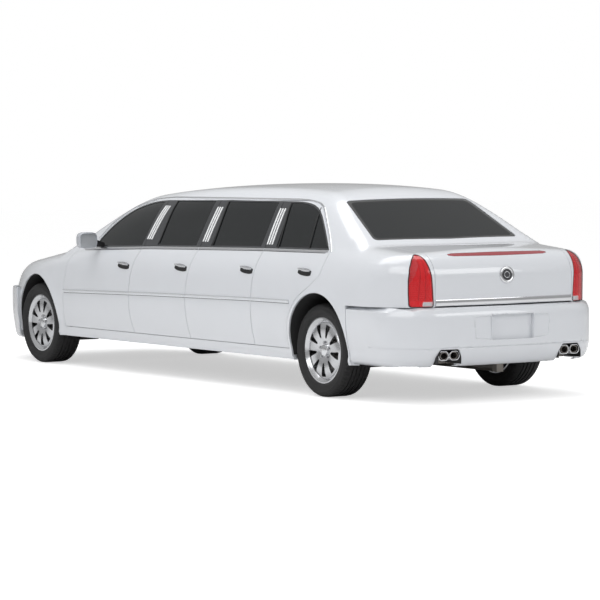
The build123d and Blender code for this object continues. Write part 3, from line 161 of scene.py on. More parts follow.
def noseField(x, y, z):
    rise = np.clip(z - nose["turnFrom"], 0, .5)
    back = crowned(x, "nose") + nose["turn"] * x * (rise / nose["turnHeight"]) ** 1.5
    back = back + nose["tuck"] * past(z, nose["tuckFrom"]) ** 1.5
    return (car["noseY"] + back - y) * crownScale(x, "nose")


def tailField(x, y, z):
    back = crowned(x, "tail")
    lean = tail["lean"] * past(z, tail["leanFrom"]) ** 2 + tail["under"] * past(tail["leanFrom"], z)
    ridge = tail["ridge"] * np.sqrt(x * x + tail["ridgeSoft"])
    return (y - car["tailY"] + back + lean + ridge) * crownScale(x, "tail")


def bodyField(x, y, z):
    lower = smoothMax(z - lowerTop(x, y), sideField(x, y, z), blends["shoulder"])
    whole = smoothMin(lower, greenhouseField(x, y, z), blends["cowl"])
    whole = smoothMax(whole, noseField(x, y, z), blends["nose"])
    whole = smoothMax(whole, tailField(x, y, z), blends["tail"])
    return smoothMax(whole, car["floor"] - z, blends["floor"])


def bumperField(x, y, z, end):
    form = bumpers[end]
    back = crowned(x, end) + form["tuck"] * past(form["below"], z) ** form["power"]
    back = back + form["fall"] * past(z, form["above"]) ** 2
    face = car["bumperNose"] + back - y if end == "frontBumper" else y - car["bumperTail"] + back
    toSides, toTop, toFoot = form["blends"]
    whole = smoothMax(sideField(x, y, z), face * crownScale(x, end), toSides)
    whole = smoothMax(whole, z - car["bumperTop"], toTop)
    return smoothMax(whole, form["foot"] - z, toFoot)


def frontBumperField(x, y, z):
    return bumperField(x, y, z, "frontBumper")


def rearBumperField(x, y, z):
    return bumperField(x, y, z, "rearBumper")


def alongRay(field, origin, direction, sink, reach=2.2, halvings=34):
    # where each ray from inside crosses the surface that lies sink below the skin
    low = np.zeros(origin.shape[:-1])
    high = np.full(origin.shape[:-1], reach)
    for step in range(halvings):
        middle = (low + high) / 2
        place = origin + direction * middle[..., None]
        inside = field(np.abs(place[..., 0]), place[..., 1], place[..., 2]) + sink < 0
        low = np.where(inside, middle, low)
        high = np.where(inside, high, middle)
    return origin + direction * low[..., None]


# rays fan out from a core line along the car; counts are along it, in each end's fan, and round it
wrap = {
    "body": {"field": bodyField, "core": (-2.5, 2.6), "height": .66,
             "along": 210, "cap": 62, "around": 116},
    "rearBumper": {"field": rearBumperField, "core": (2.3, 2.8), "height": .48,
                   "along": 14, "cap": 60, "around": 90},
    "frontBumper": {"field": frontBumperField, "core": (-2.8, -2.3), "height": .45,
                    "along": 14, "cap": 60, "around": 90},
}
rayBunching = np.radians(7)  # gathers the rays round the level ones
weld = {"near": 1e-5, "sliver": 1e-6, "cad": 2e-5, "flat": .01}


def meshOf(build, name):
    mesh = bpy.data.meshes.new(name)
    build.to_mesh(mesh)
    build.free()
    return mesh


def meshFrom(build, name="shape"):
    # the mesh with all its faces pointing outwards
    bmesh.ops.recalc_face_normals(build, faces=build.faces)
    return meshOf(build, name)


def wrapMesh(which, sink):
    # a closed skin that lies sink below the surface
    spec = wrap[which]
    nearY, farY = spec["core"]
    cap, along, around = spec["cap"], spec["along"], spec["around"]
    fan = np.radians(90) * np.sin(np.linspace(0, 1, cap) * math.pi / 2)
    polar = np.concatenate([-fan[::-1], np.zeros(along - 2), fan])
    core = np.concatenate([np.full(cap, nearY), np.linspace(nearY, farY, along)[1:-1],
                           np.full(cap, farY)])
    turn = np.radians(np.linspace(-90, 90, around))
    turn = turn + rayBunching * np.sin(2 * turn)
    lastColumn, lastRow = len(polar) - 1, around - 1
    grid = bmesh.new()
    bmesh.ops.create_grid(grid, x_segments=lastColumn, y_segments=lastRow, size=1)
    grid.verts.ensure_lookup_table()
    flat = np.array([v.co[:2] for v in grid.verts])
    column = np.rint((flat[:, 0] + 1) / 2 * lastColumn).astype(int)
    row = np.rint((flat[:, 1] + 1) / 2 * lastRow).astype(int)
    p, t = polar[column], turn[row]
    direction = np.stack([np.cos(p) * np.cos(t), np.sin(p), np.cos(p) * np.sin(t)], 1)
    origin = np.stack([np.zeros(len(p)), core[column], np.full(len(p), spec["height"])], 1)
    place = alongRay(spec["field"], origin, direction, sink)
    rim = (row == 0) | (row == lastRow) | (column == 0) | (column == lastColumn)
    place[rim, 0] = 0
    for vert, co in zip(grid.verts, place):
        vert.co = co
    bmesh.ops.remove_doubles(grid, verts=grid.verts, dist=weld["near"])
    bmesh.ops.mirror(grid, geom=grid.verts[:] + grid.edges[:] + grid.faces[:], axis="X",
                     merge_dist=weld["near"])
    bmesh.ops.remove_doubles(grid, verts=grid.verts, dist=weld["near"])
    bmesh.ops.dissolve_degenerate(grid, edges=grid.edges, dist=weld["sliver"])
    return meshFrom(grid, f"{which}Skin")


# tools shared by all pieces
def addObject(name, mesh):
    thing = bpy.data.objects.new(name, mesh)
    bpy.context.scene.collection.objects.link(thing)
    return thing


def carve(mesh, cutter, how):
    # one mesh cut by, or kept inside, another closed mesh
    host, tool = addObject("carveHost", mesh), addObject("carveTool", cutter)
    cut = host.modifiers.new("cut", "BOOLEAN")
    cut.operation, cut.solver, cut.object = how, "MANIFOLD", tool
    evaluated = host.evaluated_get(bpy.context.evaluated_depsgraph_get())
    result = bpy.data.meshes.new_from_object(evaluated)
    bpy.data.objects.remove(host)
    bpy.data.objects.remove(tool)
    return result


def keep(mesh, *cutters):
    for cutter in cutters:
        mesh = carve(mesh, cutter, "INTERSECT")
    return mesh


def remove(mesh, *cutters):
    for cutter in cutters:
        mesh = carve(mesh, cutter, "DIFFERENCE")
    return mesh


def pushed(build, face, shift):
    # one face made a solid by pushing it along
    fresh = bmesh.ops.extrude_face_region(build, geom=[face])["geom"]
    corners = [part for part in fresh if isinstance(part, bmesh.types.BMVert)]
    bmesh.ops.translate(build, vec=shift, verts=corners)
    return meshFrom(build)


def prism(outline, plane, low, high):
    # a closed outline pushed along the axis that its plane leaves out
    place = {"side": lambda a, b, d: (d, a, b), "rear": lambda a, b, d: (a, d, b),
             "top": lambda a, b, d: (a, b, d)}[plane]
    build = bmesh.new()
    face = build.faces.new([build.verts.new(place(a, b, low)) for a, b in outline])
    return pushed(build, face, place(0, 0, high - low))


def slanted(outline, foot, head, low, high):
    # an outline of (across, up the slope) pushed square to a leaning plane
    along = Vector((0, head[0] - foot[0], head[1] - foot[1])).normalized()
    out = Vector((0, -along.z, along.y)) * (1 if along.y > 0 else -1)
    build = bmesh.new()
    face = build.faces.new([build.verts.new(Vector((x, *foot)) + along * up + out * low)
                            for x, up in outline])
    return pushed(build, face, out * (high - low))


def block(x0, x1, y0, y1, z0, z1):
    return prism([(x0, y0), (x1, y0), (x1, y1), (x0, y1)], "top", z0, z1)


def arc(first, second, third, steps=8):
    # points after the first on the arc through three points
    (ax, ay), (bx, by), (cx, cy) = first, second, third
    d = 2 * (ax * (by - cy) + bx * (cy - ay) + cx * (ay - by))
    a2, b2, c2 = ax * ax + ay * ay, bx * bx + by * by, cx * cx + cy * cy
    ux = (a2 * (by - cy) + b2 * (cy - ay) + c2 * (ay - by)) / d
    uy = (a2 * (cx - bx) + b2 * (ax - cx) + c2 * (bx - ax)) / d
    start, middle, end = (math.atan2(q[1] - uy, q[0] - ux) for q in (first, second, third))
    full = 2 * math.pi
    sweep = (end - start) % full
    if (middle - start) % full > sweep:
        sweep -= full
    radius = math.hypot(ax - ux, ay - uy)
    turns = [start + sweep * i / steps for i in range(1, steps + 1)]
    return [(ux + radius * math.cos(turn), uy + radius * math.sin(turn)) for turn in turns]


def rounded(points, radius, steps=5):
    # a closed outline with its corners rounded
    result = []
    for index, corner in enumerate(points):
        corner = Vector(corner)
        before = Vector(points[index - 1]) - corner
        after = Vector(points[(index + 1) % len(points)]) - corner
        start = corner + before.normalized() * min(radius, before.length * .45)
        end = corner + after.normalized() * min(radius, after.length * .45)
        for step in range(steps + 1):
            t = step / steps
            result.append(tuple(start * (1 - t) ** 2 + corner * (2 * t * (1 - t)) + end * t * t))
    return result


def smoothPath(path, steps):
    # a rounded line through a few points
    spots = np.array(path, float)
    lengths = np.concatenate([[0], np.cumsum(np.hypot(*np.diff(spots, axis=0).T))])
    at = np.linspace(0, lengths[-1], steps)
    line = np.stack([np.interp(at, lengths, spots[:, k]) for k in (0, 1)], 1)
    for again in range(3):
        line[1:-1] = (line[:-2] + 2 * line[1:-1] + line[2:]) / 4
    return [tuple(p) for p in line]


def lineHeight(line, y):
    return float(np.interp(y, [p[0] for p in line], [p[1] for p in line]))


def mirrored(mesh):
    build = bmesh.new()
    build.from_mesh(mesh)
    bmesh.ops.scale(build, vec=(-1, 1, 1), verts=build.verts)
    bmesh.ops.reverse_faces(build, faces=build.faces)
    return meshOf(build, "mirrored")


def moved(mesh, shift):
    copy = mesh.copy()
    copy.transform(Matrix.Translation(shift))
    return copy


def forSide(side, meshes):
    # the left side's meshes as they are on one side of the car
    return [mirrored(mesh) if side == "right" else mesh.copy() for mesh in meshes]


def bothSides(build, *values):
    left = build(*values)
    return left, mirrored(left)


def merged(*meshes):
    build = bmesh.new()
    for mesh in meshes:
        build.from_mesh(mesh)
    return meshOf(build, "merged")


def paired(*meshes):
    return merged(*meshes, *[mirrored(mesh) for mesh in meshes])


def joined(*meshes):
    # several meshes as one, each keeping the number of its own finish
    build = bmesh.new()
    for index, mesh in enumerate(meshes):
        before = len(build.faces)
        build.from_mesh(mesh)
        build.faces.ensure_lookup_table()
        for face in build.faces[before:]:
            face.material_index = index
    return meshOf(build, "joined")


def cadCopy(node):
    # the CAD solid as a merged mesh, to be trimmed under the skin
    build = bmesh.new()
    build.from_mesh(nodes[node].data)
    bmesh.ops.remove_doubles(build, verts=build.verts, dist=weld["cad"])
    bmesh.ops.dissolve_degenerate(build, edges=build.edges, dist=weld["sliver"])
    bmesh.ops.dissolve_limit(build, angle_limit=weld["flat"], verts=build.verts,
                             edges=build.edges)
    bmesh.ops.triangulate(build, faces=build.faces)
    return meshOf(build, f"{node}Copy")


def finish(name, mesh, finishes, body, slot, replaced=(), bevel=0, sharp=32):
    # gives a mesh its finishes, soft edges and body
    thing = addObject(name, mesh)
    order = [face.material_index for face in mesh.polygons]
    mesh.materials.clear()
    for one in finishes:
        mesh.materials.append(one)
    if len(finishes) > 1:
        mesh.polygons.foreach_set("material_index", order)
    mesh.shade_smooth()
    mesh.set_sharp_from_angle(angle=math.radians(sharp))
    if bevel:
        edge = thing.modifiers.new("edges", "BEVEL")
        edge.width, edge.segments, edge.limit_method = bevel, 2, "ANGLE"
        edge.angle_limit, edge.use_clamp_overlap = math.radians(50), True
    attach(thing, body)
    if replaced:
        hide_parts(*replaced)
    return thing


def skinPoint(which, toward, a, b):
    # a point of the skin seen from one side, and the way that the skin faces there
    field, insideY, nudge = wrap[which]["field"], 2.2, 1e-4
    start, way = {"side": ((0, a, b), (1, 0, 0)), "rear": ((a, insideY, b), (0, 1, 0)),
                  "front": ((a, -insideY, b), (0, -1, 0))}[toward]
    p = alongRay(field, np.array([start], float), np.array([way], float), 0)[0]
    slope = [float(field(abs(p[0] + dx), p[1] + dy, p[2] + dz)
                   - field(abs(p[0] - dx), p[1] - dy, p[2] - dz))
             for dx, dy, dz in ((nudge, 0, 0), (0, nudge, 0), (0, 0, nudge))]
    return Vector(p), Vector(slope).normalized()


def bridge(build, one, two):
    # faces between two closed rings of vertices
    for i in range(len(one)):
        j = (i + 1) % len(one)
        build.faces.new((one[i], one[j], two[j], two[i]))


def strip(which, toward, path, width, proud, depth=.003, crown=.35, taper=0):
    # a rounded moulding that follows the skin along a path of two numbers a point
    points = [skinPoint(which, toward, a, b) for a, b in path]
    last = len(points) - 1
    shape = ((-1, -depth), (-1, proud * crown), (-.62, proud * .86), (0, proud),
             (.62, proud * .86), (1, proud * crown), (1, -depth))
    build = bmesh.new()
    rings = []
    for index, (p, n) in enumerate(points):
        after, before = points[min(index + 1, last)][0], points[max(index - 1, 0)][0]
        across = n.cross((after - before).normalized()).normalized()
        size = 1 - taper * abs(2 * (index / max(last, 1)) - 1) ** 3
        half = width / 2 * size
        rings.append([build.verts.new(p + across * (s * half) + n * h) for s, h in shape])
    for one, two in zip(rings, rings[1:]):
        bridge(build, one, two)
    build.faces.new(rings[0])
    build.faces.new(rings[-1][::-1])
    return meshFrom(build)


def lathe(profile, steps, dent=None):
    # a closed profile of (radius, along the axle) turned round the axle
    build = bmesh.new()
    rings = []
    for step in range(steps):
        turn = 2 * math.pi * step / steps
        ring = []
        for index, (radius, across) in enumerate(profile):
            radius -= dent(step, index) if dent else 0
            ring.append(build.verts.new((across, radius * math.cos(turn),
                                         radius * math.sin(turn))))
        rings.append(ring)
    for step, ring in enumerate(rings):
        bridge(build, ring, rings[(step + 1) % steps])
    return meshFrom(build)


def pillow(center, half, power, around=40, up=24):
    # a rounded block that is closed at its poles
    build = bmesh.new()
    bmesh.ops.create_uvsphere(build, u_segments=around, v_segments=up, radius=1)
    for v in build.verts:
        turn = math.atan2(v.co.y, v.co.x)
        lift = math.atan2(v.co.z, math.hypot(v.co.x, v.co.y))
        c, s, cl, sl = math.cos(turn), math.sin(turn), math.cos(lift), math.sin(lift)
        ring = math.copysign(abs(cl) ** power, cl)
        v.co = Vector((center[0] + half[0] * ring * math.copysign(abs(c) ** power, c),
                       center[1] + half[1] * ring * math.copysign(abs(s) ** power, s),
                       center[2] + half[2] * math.copysign(abs(sl) ** power, sl)))
    return meshFrom(build)


# finishes
def addNode(tree, kind, values=(), **settings):
    # a node with its settings, and then the values of its sockets
    node = tree.nodes.new(f"ShaderNode{kind}")
    for key, value in settings.items():
        setattr(node, key, value)
    for socket, value in dict(values).items():
        node.inputs[socket].default_value = value
    return node


def wire(tree, *links):
    for source, outlet, sink, inlet in links:
        tree.links.new(source.outputs[outlet], sink.inputs[inlet])


def newGroup(name, inputs, outputs):
    group = bpy.data.node_groups.new(name, "ShaderNodeTree")
    for label, value in inputs.items():
        socket = group.interface.new_socket(label, in_out="INPUT", socket_type="NodeSocketFloat")
        socket.default_value = value
    for label in outputs:
        group.interface.new_socket(label, in_out="OUTPUT", socket_type="NodeSocketFloat")
    return group, group.nodes.new("NodeGroupInput"), group.nodes.new("NodeGroupOutput")


def grainGroup():
    # fine and broad noise as one height and one mask
    group, source, sink = newGroup("surfaceGrain", {"Scale": 400.0, "Broad": 6.0},
                                   ["Height", "Mask"])
    place = addNode(group, "TexCoord")
    fine = addNode(group, "TexNoise", {"Detail": 2})
    broad = addNode(group, "TexNoise", {"Detail": 4})
    wire(group, (place, "Object", fine, "Vector"), (place, "Object", broad, "Vector"),
         (source, "Scale", fine, "Scale"), (source, "Broad", broad, "Scale"),
         (fine, "Fac", sink, "Height"), (broad, "Fac", sink, "Mask"))
    return group


def filmGroup():
    # road film that is densest low on the car and breaks up with noise
    group, source, sink = newGroup("roadFilm", {"Top": .6, "Amount": .4}, ["Mask"])
    place = addNode(group, "TexCoord")
    split = addNode(group, "SeparateXYZ")
    fall = addNode(group, "MapRange", {"From Min": .15, "To Min": 1, "To Max": 0})
    noise = addNode(group, "TexNoise", {"Scale": 9, "Detail": 5})
    broken = addNode(group, "Math", operation="MULTIPLY")
    scaled = addNode(group, "Math", operation="MULTIPLY", use_clamp=True)
    wire(group, (place, "Object", split, "Vector"), (place, "Object", noise, "Vector"),
         (split, "Z", fall, "Value"), (source, "Top", fall, "From Max"),
         (fall, "Result", broken, 0), (noise, "Fac", broken, 1), (broken, "Value", scaled, 0),
         (source, "Amount", scaled, 1), (scaled, "Value", sink, "Mask"))
    return group


surfaceGrain, roadFilm = grainGroup(), filmGroup()


def finishOf(name, color, rough, metal=0, coat=0, grain=400, bump=.02, vary=.05, film=0,
             filmColor=(.32, .3, .27), alpha=1, ior=1.45, glow=0, spread=.06, distance=.001):
    # one finish with its grain, slow changes of tone and a little road film
    made = bpy.data.materials.new(name)
    made.use_nodes = True
    tree = made.node_tree
    shader = tree.nodes["Principled BSDF"]
    for socket, value in (("Metallic", metal), ("Coat Weight", coat), ("Coat Roughness", .04),
                          ("IOR", ior), ("Alpha", alpha)):
        shader.inputs[socket].default_value = value
    grainNode = addNode(tree, "Group", node_tree=surfaceGrain)
    grainNode.inputs["Scale"].default_value = grain
    bumpNode = addNode(tree, "Bump", {"Strength": bump, "Distance": distance})
    tone = addNode(tree, "Mix", {"A": (*[c * (1 - vary) for c in color], 1),
                                 "B": (*[min(c * (1 + vary), 1) for c in color], 1)},
                   data_type="RGBA")
    roughRange = addNode(tree, "MapRange", {"To Min": max(rough - spread, .01),
                                            "To Max": rough + spread})
    wire(tree, (grainNode, "Height", bumpNode, "Height"), (bumpNode, "Normal", shader, "Normal"),
         (grainNode, "Mask", tone, "Factor"), (grainNode, "Mask", roughRange, "Value"))
    if film:
        filmNode = addNode(tree, "Group", node_tree=roadFilm)
        filmNode.inputs["Amount"].default_value = film
        soiled = addNode(tree, "Mix", {"B": (*filmColor, 1)}, data_type="RGBA")
        dull = addNode(tree, "Math", {1: .5}, operation="MULTIPLY_ADD")
        wire(tree, (filmNode, "Mask", soiled, "Factor"), (tone, "Result", soiled, "A"),
             (soiled, "Result", shader, "Base Color"), (filmNode, "Mask", dull, 0),
             (roughRange, "Result", dull, 2), (dull, "Value", shader, "Roughness"))
    else:
        wire(tree, (tone, "Result", shader, "Base Color"),
             (roughRange, "Result", shader, "Roughness"))
    if glow:
        shader.inputs["Emission Strength"].default_value = glow
        wire(tree, (tone, "Result", shader, "Emission Color"))
    return made


paint = finishOf("pearlPaint", (.75, .772, .81), .24, coat=1, grain=2400, bump=.012, vary=.012,
                 film=.035, spread=.02)
innerPaint = finishOf("doorLining", (.075, .075, .08), .55, grain=900, bump=.25, vary=.1)
# the jambs and linings take the body's paint darkened to two thirds: painted shade for the surfaces
# inside the gaps, with a little road film
jambPaint = finishOf("jambPaint", (.5, .52, .55), .4, grain=1200, bump=.03, vary=.04, film=.15)
pillarBlack = finishOf("pillarFilm", (.045, .047, .051), .36, coat=.1, grain=1500, bump=.03,
                       vary=.08)
tintGlass = finishOf("tintedGlass", (.012, .014, .015), .05, grain=20, bump=.003, vary=.1,
                     alpha=.95, ior=1.38, spread=.015)
clearGlass = finishOf("screenGlass", (.10, .12, .12), .03, coat=.6, grain=20, bump=.003,
                      vary=.05, alpha=.5, spread=.01)
chromeTrim = finishOf("chromeTrim", (.78, .79, .81), .09, metal=1, grain=900, bump=.01,
                      vary=.03, film=.06, spread=.03)
rubberSeal = finishOf("rubberSeal", (.018, .018, .02), .6, grain=900, bump=.15, vary=.15)
print("finishes made")

# panels cut from the skin; distances are in from the surface
shell = {"skin": .012, "under": .0128, "gap": .0026, "frame": (.0025, .0145),
         "glass": (.006, .0105), "endGlass": (.004, .0085)}
beyond = {"x": 1.2, "y": 3.5, "inside": .3}  # cutters reach past the car's own surface
skins = {}


def skinAt(sink):
    # the body's skin moved in by a distance; each is made only once
    if sink not in skins:
        skins[sink] = wrapMesh("body", sink)
    return skins[sink].copy()


def sheetOf(outer, inner):
    return carve(skinAt(outer), skinAt(inner), "DIFFERENCE")


def sidePrism(outline):
    return prism(outline, "side", beyond["inside"], beyond["x"])


underVolume = skinAt(shell["under"])
bodySheet = sheetOf(0, shell["skin"])
glassSheet = sheetOf(*shell["glass"])
frameSheet = sheetOf(*shell["frame"])
print("skins wrapped", len(bodySheet.polygons))

# columns: y at the sill, the waist, the belt and the rail, from the rear axle
shutLines = ((-3.962, -3.915, -3.815, -3.815), (-2.770, -2.795, -2.672, -2.637),
             (-1.870, -1.885, -1.790, -1.795), (-.905, -.905, -.840, -.875))
sill, waist, beltTurn, rail = .34, .68, 1.036, 1.44
archFlange = .42  # the rear door's edge runs at this distance round the rear wheel


def archPoint(radius, angle):
    angle = math.radians(angle)
    return rearAxle - radius * math.cos(angle), car["archHeight"] + radius * math.sin(angle)


def doorOutline(number, inset):
    front = [rearAxle + y for y in shutLines[number - 1]]
    low = sill + inset
    points = [(front[0] + inset, low)]
    points += arc(points[0], (front[1] + inset, waist), (front[2] + inset, beltTurn))
    if number == 1:
        # along the windscreen pillar
        points += [(-1.35 + inset, 1.095), (-1.24 + inset, 1.222 - inset),
                   (-1.02 + inset, 1.354 - inset), (-.75, 1.418 - inset)]
    else:
        points += [(front[3] + inset, rail - inset)]
    if number < 4:
        rear = [rearAxle + y for y in shutLines[number]]
        points += [(rear[3] - inset, rail - inset), (rear[2] - inset, beltTurn)]
        return points + arc(points[-1], (rear[1] - inset, waist), (rear[0] - inset, low))
    # down the rear pillar and round the wheel arch
    ring = archFlange + inset
    points += [(1.67, rail - inset)]
    points += arc(points[-1], (1.79, 1.415 - inset), (1.88 - inset, 1.37 - inset), 6)
    points += [(2.10 - inset, 1.19 - inset), (2.216 - inset, 1.062), (2.186 - inset, .905)]
    points += arc(points[-1], (2.09 - inset, .838), archPoint(ring, 66), 5)
    points += arc(points[-1], archPoint(ring, 30), archPoint(ring, -2), 8)
    return points + [(archPoint(ring, -2)[0], low)]


# the glazed opening along the side, and the dark pillars in it
beltLine = ((-1.5, 1.016), (-1.22, 1.025), (-.40, 1.052), (.38, 1.065), (1.32, 1.079),
            (2.24, 1.084))
openTop = ((-1.342, 1.088), (-1.231, 1.213), (-1.013, 1.345), (-.745, 1.409), (-.42, 1.4275),
           (.26, 1.4335), (1.2, 1.4335), (1.58, 1.4335), (1.772, 1.4065), (1.866, 1.361),
           (2.086, 1.183), (2.190, 1.084))
# columns: front edge below and above, rear edge below and above
pillars = ((-.564, -.542, -.306, -.338), (.297, .279, .533, .476), (1.264, 1.209, 1.491, 1.388))
frameWidth = {"side": .011, "low": .013}
openOutline = smoothPath(openTop, 60)
openOutline += [(y, lineHeight(beltLine, y)) for y in np.linspace(2.190, -1.342, 30)[1:]]


def windowOutline(number):
    # the space between two pillars
    front = pillars[number - 2][2:] if number > 1 else (-1.6, -1.6)
    rear = pillars[number - 1][:2] if number < 4 else (2.6, 2.6)
    return [(front[0], .9), (front[1], 1.5), (rear[1], 1.5), (rear[0], .9)]


def framedPoint(y, z):
    # a point of the opening moved in by the frame's width
    belt, width = lineHeight(beltLine, y), frameWidth["side"]
    sideways = 0
    if z > belt + .01 and not -1.0 <= y <= 1.6:
        sideways = -width if y > 1.6 else width
    return y + sideways, z + (-width if z > belt + .02 else frameWidth["low"])


openCutter = sidePrism(openOutline)
innerOpen = sidePrism([framedPoint(y, z) for y, z in openOutline])
leftDoors = {}
for number in (1, 2, 3, 4):
    node = f"left_door_{number}"
    outline = sidePrism(doorOutline(number, shell["gap"]))
    skinPart = remove(keep(bodySheet.copy(), outline.copy()), openCutter.copy())
    liner = keep(cadCopy(node), underVolume.copy())
    framePart = keep(frameSheet.copy(), outline.copy(), openCutter.copy())
    window = keep(sidePrism(windowOutline(number)), innerOpen.copy())
    framePart = remove(framePart, window.copy())
    pane = keep(glassSheet.copy(), window.copy())
    leftDoors[number] = (joined(skinPart, liner), framePart, pane)
for side in ("left", "right"):
    for number, meshes in leftDoors.items():
        panel, framePart, pane = forSide(side, meshes)
        name, body = f"{side}Door{number}", f"{side}_door_{number}_body"
        finish(f"{name}Panel", panel, [paint, innerPaint], body, "paint",
               (f"{side}_door_{number}",))
        finish(f"{name}Frame", framePart, [pillarBlack], body, "trim_plastic")
        finish(f"{name}Glass", pane, [tintGlass], body, "dark_glass",
               (f"{side}_door_glass_{number}",))
print("doors cut")

# the fixed skin and the panels at both ends
def screenOutline(inset):
    rise = math.dist(car["screenFoot"], car["screenHead"])
    corners = [(-.56 + inset, rise - .04 - inset), (.56 - inset, rise - .04 - inset),
               (.76 - inset, .08 + inset), (0, .05 + inset), (-.76 + inset, .08 + inset)]
    return rounded(corners, .05)


def lightOutline(inset):
    rise = math.dist(car["lightFoot"], car["lightHead"])
    corners = [(-.56 + inset, rise - .02 - inset), (.56 - inset, rise - .02 - inset),
               (.655 - inset, .06 + inset), (0, .03 + inset), (-.655 + inset, .06 + inset)]
    return rounded(corners, .045)


def screenCut(inset):
    return slanted(screenOutline(inset), car["screenFoot"], car["screenHead"], -.25, .12)


def lightCut(inset):
    return slanted(lightOutline(inset), car["lightFoot"], car["lightHead"], -.2, .12)


def archRing(axle, radius, angles):
    return [(axle + radius * math.cos(math.radians(a)),
             car["archHeight"] + radius * math.sin(math.radians(a))) for a in angles]


def wheelCut(axle):
    return prism(archRing(axle, car["archRadius"], range(0, 360, 5)), "side", -beyond["x"],
                 beyond["x"])


def wingOutline(inset):
    # behind the front wheel up to the first door, and over the wheel to the nose
    front = [rearAxle + y for y in shutLines[0]]
    points = [(front[0] - inset, .2), (front[0] - inset, sill)]
    points += arc(points[-1], (front[1] - inset, waist), (front[2] - inset, beltTurn))
    return points + [(front[2] - .06 - inset, 1.106), (-3.4, 1.106), (-3.4, .64 + inset),
                     (-2.695 + inset, .64 + inset), (-2.695 + inset, .2)]


def lampOutline(inset):
    corners = [(.624 + inset, .6985 + inset), (.631 + inset, .82), (.641 + inset, .94),
               (.654 + inset, 1.052), (.672, 1.074 - inset), (.704 - inset, 1.067),
               (.742 - inset, 1.037), (.775 - inset, .975), (.788 - inset, .90),
               (.788 - inset, .80), (.784 - inset, .6985 + inset)]
    return rounded(corners, .02)


def tailPrism(outline, low=2.9, high=beyond["y"]):
    return prism(outline, "rear", low, high)


def nosePrism(outline, low=-beyond["y"], high=-2.9):
    return prism(outline, "rear", low, high)


def endBlock(halfX, y0, y1, z0, z1):
    return block(-halfX, halfX, y0, y1, z0, z1)


halfGap = .0015
# where the fixed skin gives way to the wings, the bonnet, the rear bumper, the floor and the lid
cut = {"wingX": .8357, "wingHalf": .8385, "wingY": -1.9085, "bonnetY": -1.93, "bumperY": 2.545,
       "bumperTop": .6965, "floorHalf": .83, "lidHalf": .6155, "lidGap": .004,
       "lampGap": .0012}
wing = {"inner": .7058, "cowlX": (.70, .8372), "cowlY": (-1.906, -1.5)}
hood = {"half": .7025, "rear": -1.922}
lid = {"half": .612, "front": 2.6, "low": .703}
shellNodes = ("body_pillars", "cowl_panel", "sills", "rear_quarters", "roof_panel")
lampMouth = [(.36, .664), (.36, .752), (.50, .782), (.694, .792), (.694, .70), (.60, .664)]
stopEdge = [(-.444, 1.0595), (-.40, 1.0535), (0, 1.0505), (.40, 1.0535), (.444, 1.0595),
            (.444, 1.068), (.40, 1.0745), (0, 1.0775), (-.40, 1.0745), (-.444, 1.068)]
# the front edge of the first door and the rear edges of the last one
doorHole = doorOutline(1, -halfGap)[:13] + doorOutline(4, -halfGap)[9:]

rootSkin = remove(bodySheet.copy(), *bothSides(sidePrism, doorHole),
                  *bothSides(prism, wingOutline(-halfGap), "side", cut["wingX"], beyond["x"]),
                  endBlock(cut["wingHalf"], -beyond["y"], cut["wingY"], .1, 1.4),
                  endBlock(beyond["x"], -beyond["y"], cut["bonnetY"], .1, 1.4))
rootSkin = remove(rootSkin,
                  endBlock(beyond["x"], cut["bumperY"], beyond["y"], .1, cut["bumperTop"]),
                  endBlock(cut["floorHalf"], -3.2, 3.2, .2, .3), wheelCut(rearAxle))
rootSkin = remove(rootSkin, endBlock(cut["lidHalf"], lid["front"] - cut["lidGap"], beyond["y"],
                                     .5, 1.3),
                  screenCut(0), lightCut(0),
                  *bothSides(tailPrism, lampOutline(-cut["lampGap"])))
linings = [keep(cadCopy(node), underVolume.copy()) for node in shellNodes]
finish("bodySkin", joined(rootSkin, merged(*linings)), [paint, jambPaint], "root", "paint",
       shellNodes)
print("body skin cut")

wingSkin = keep(bodySheet.copy(),
                prism(wingOutline(halfGap), "side", wing["inner"], beyond["x"]))
wingSkin = remove(wingSkin, wheelCut(frontAxle), block(*wing["cowlX"], *wing["cowlY"], .5, 1.3))
wingLining = keep(cadCopy("front_wings"), underVolume.copy())
finish("frontWings", joined(paired(wingSkin), wingLining), [paint, jambPaint], "root", "paint",
       ("front_wings",))

bonnetSkin = keep(bodySheet.copy(), endBlock(hood["half"], -beyond["y"], hood["rear"], .8, 1.3))
bonnetLining = keep(cadCopy("bonnet"), underVolume.copy())
finish("bonnetPanel", joined(bonnetSkin, bonnetLining), [paint, jambPaint], "bonnet_body",
       "paint", ("bonnet",))

lidBox = endBlock(lid["half"], lid["front"], beyond["y"], lid["low"], 1.3)
lidSkin = remove(keep(bodySheet.copy(), lidBox), tailPrism(rounded(stopEdge, .004), 3.0, 3.4))
lidLining = keep(cadCopy("boot_lid"), underVolume.copy())
finish("bootLidPanel", joined(lidSkin, lidLining), [paint, jambPaint], "boot_lid_body", "paint",
       ("boot_lid",))
print("bonnet and boot lid cut")

# bumpers: each a thin skin over its trimmed solid
intakeOutline = rounded([(-.47, .29), (.47, .29), (.44, .41), (-.44, .41)], .03)
frontSheet = remove(wrapMesh("frontBumper", 0), wrapMesh("frontBumper", .01))
frontSheet = keep(frontSheet, endBlock(beyond["x"], -beyond["y"], -2.6985, .1, .637))
frontSheet = remove(frontSheet, nosePrism(intakeOutline), endBlock(.8, -3.05, -2.6, .1, .3))
frontLining = keep(cadCopy("front_bumper"), wrapMesh("frontBumper", .011))
finish("frontBumperSkin", joined(frontSheet, frontLining), [paint, jambPaint], "root", "paint",
       ("front_bumper",))
grilleOutline = rounded([(-.325, .655), (.325, .655), (.30, .788), (-.30, .788)], .02)
noseSkin = keep(bodySheet.copy(), endBlock(.7035, -beyond["y"], -2.95, .641, .797))
noseSkin = remove(noseSkin, nosePrism(grilleOutline),
                  *bothSides(nosePrism, rounded(lampMouth, .018)))
finish("noseFascia", noseSkin, [paint], "root", "paint")

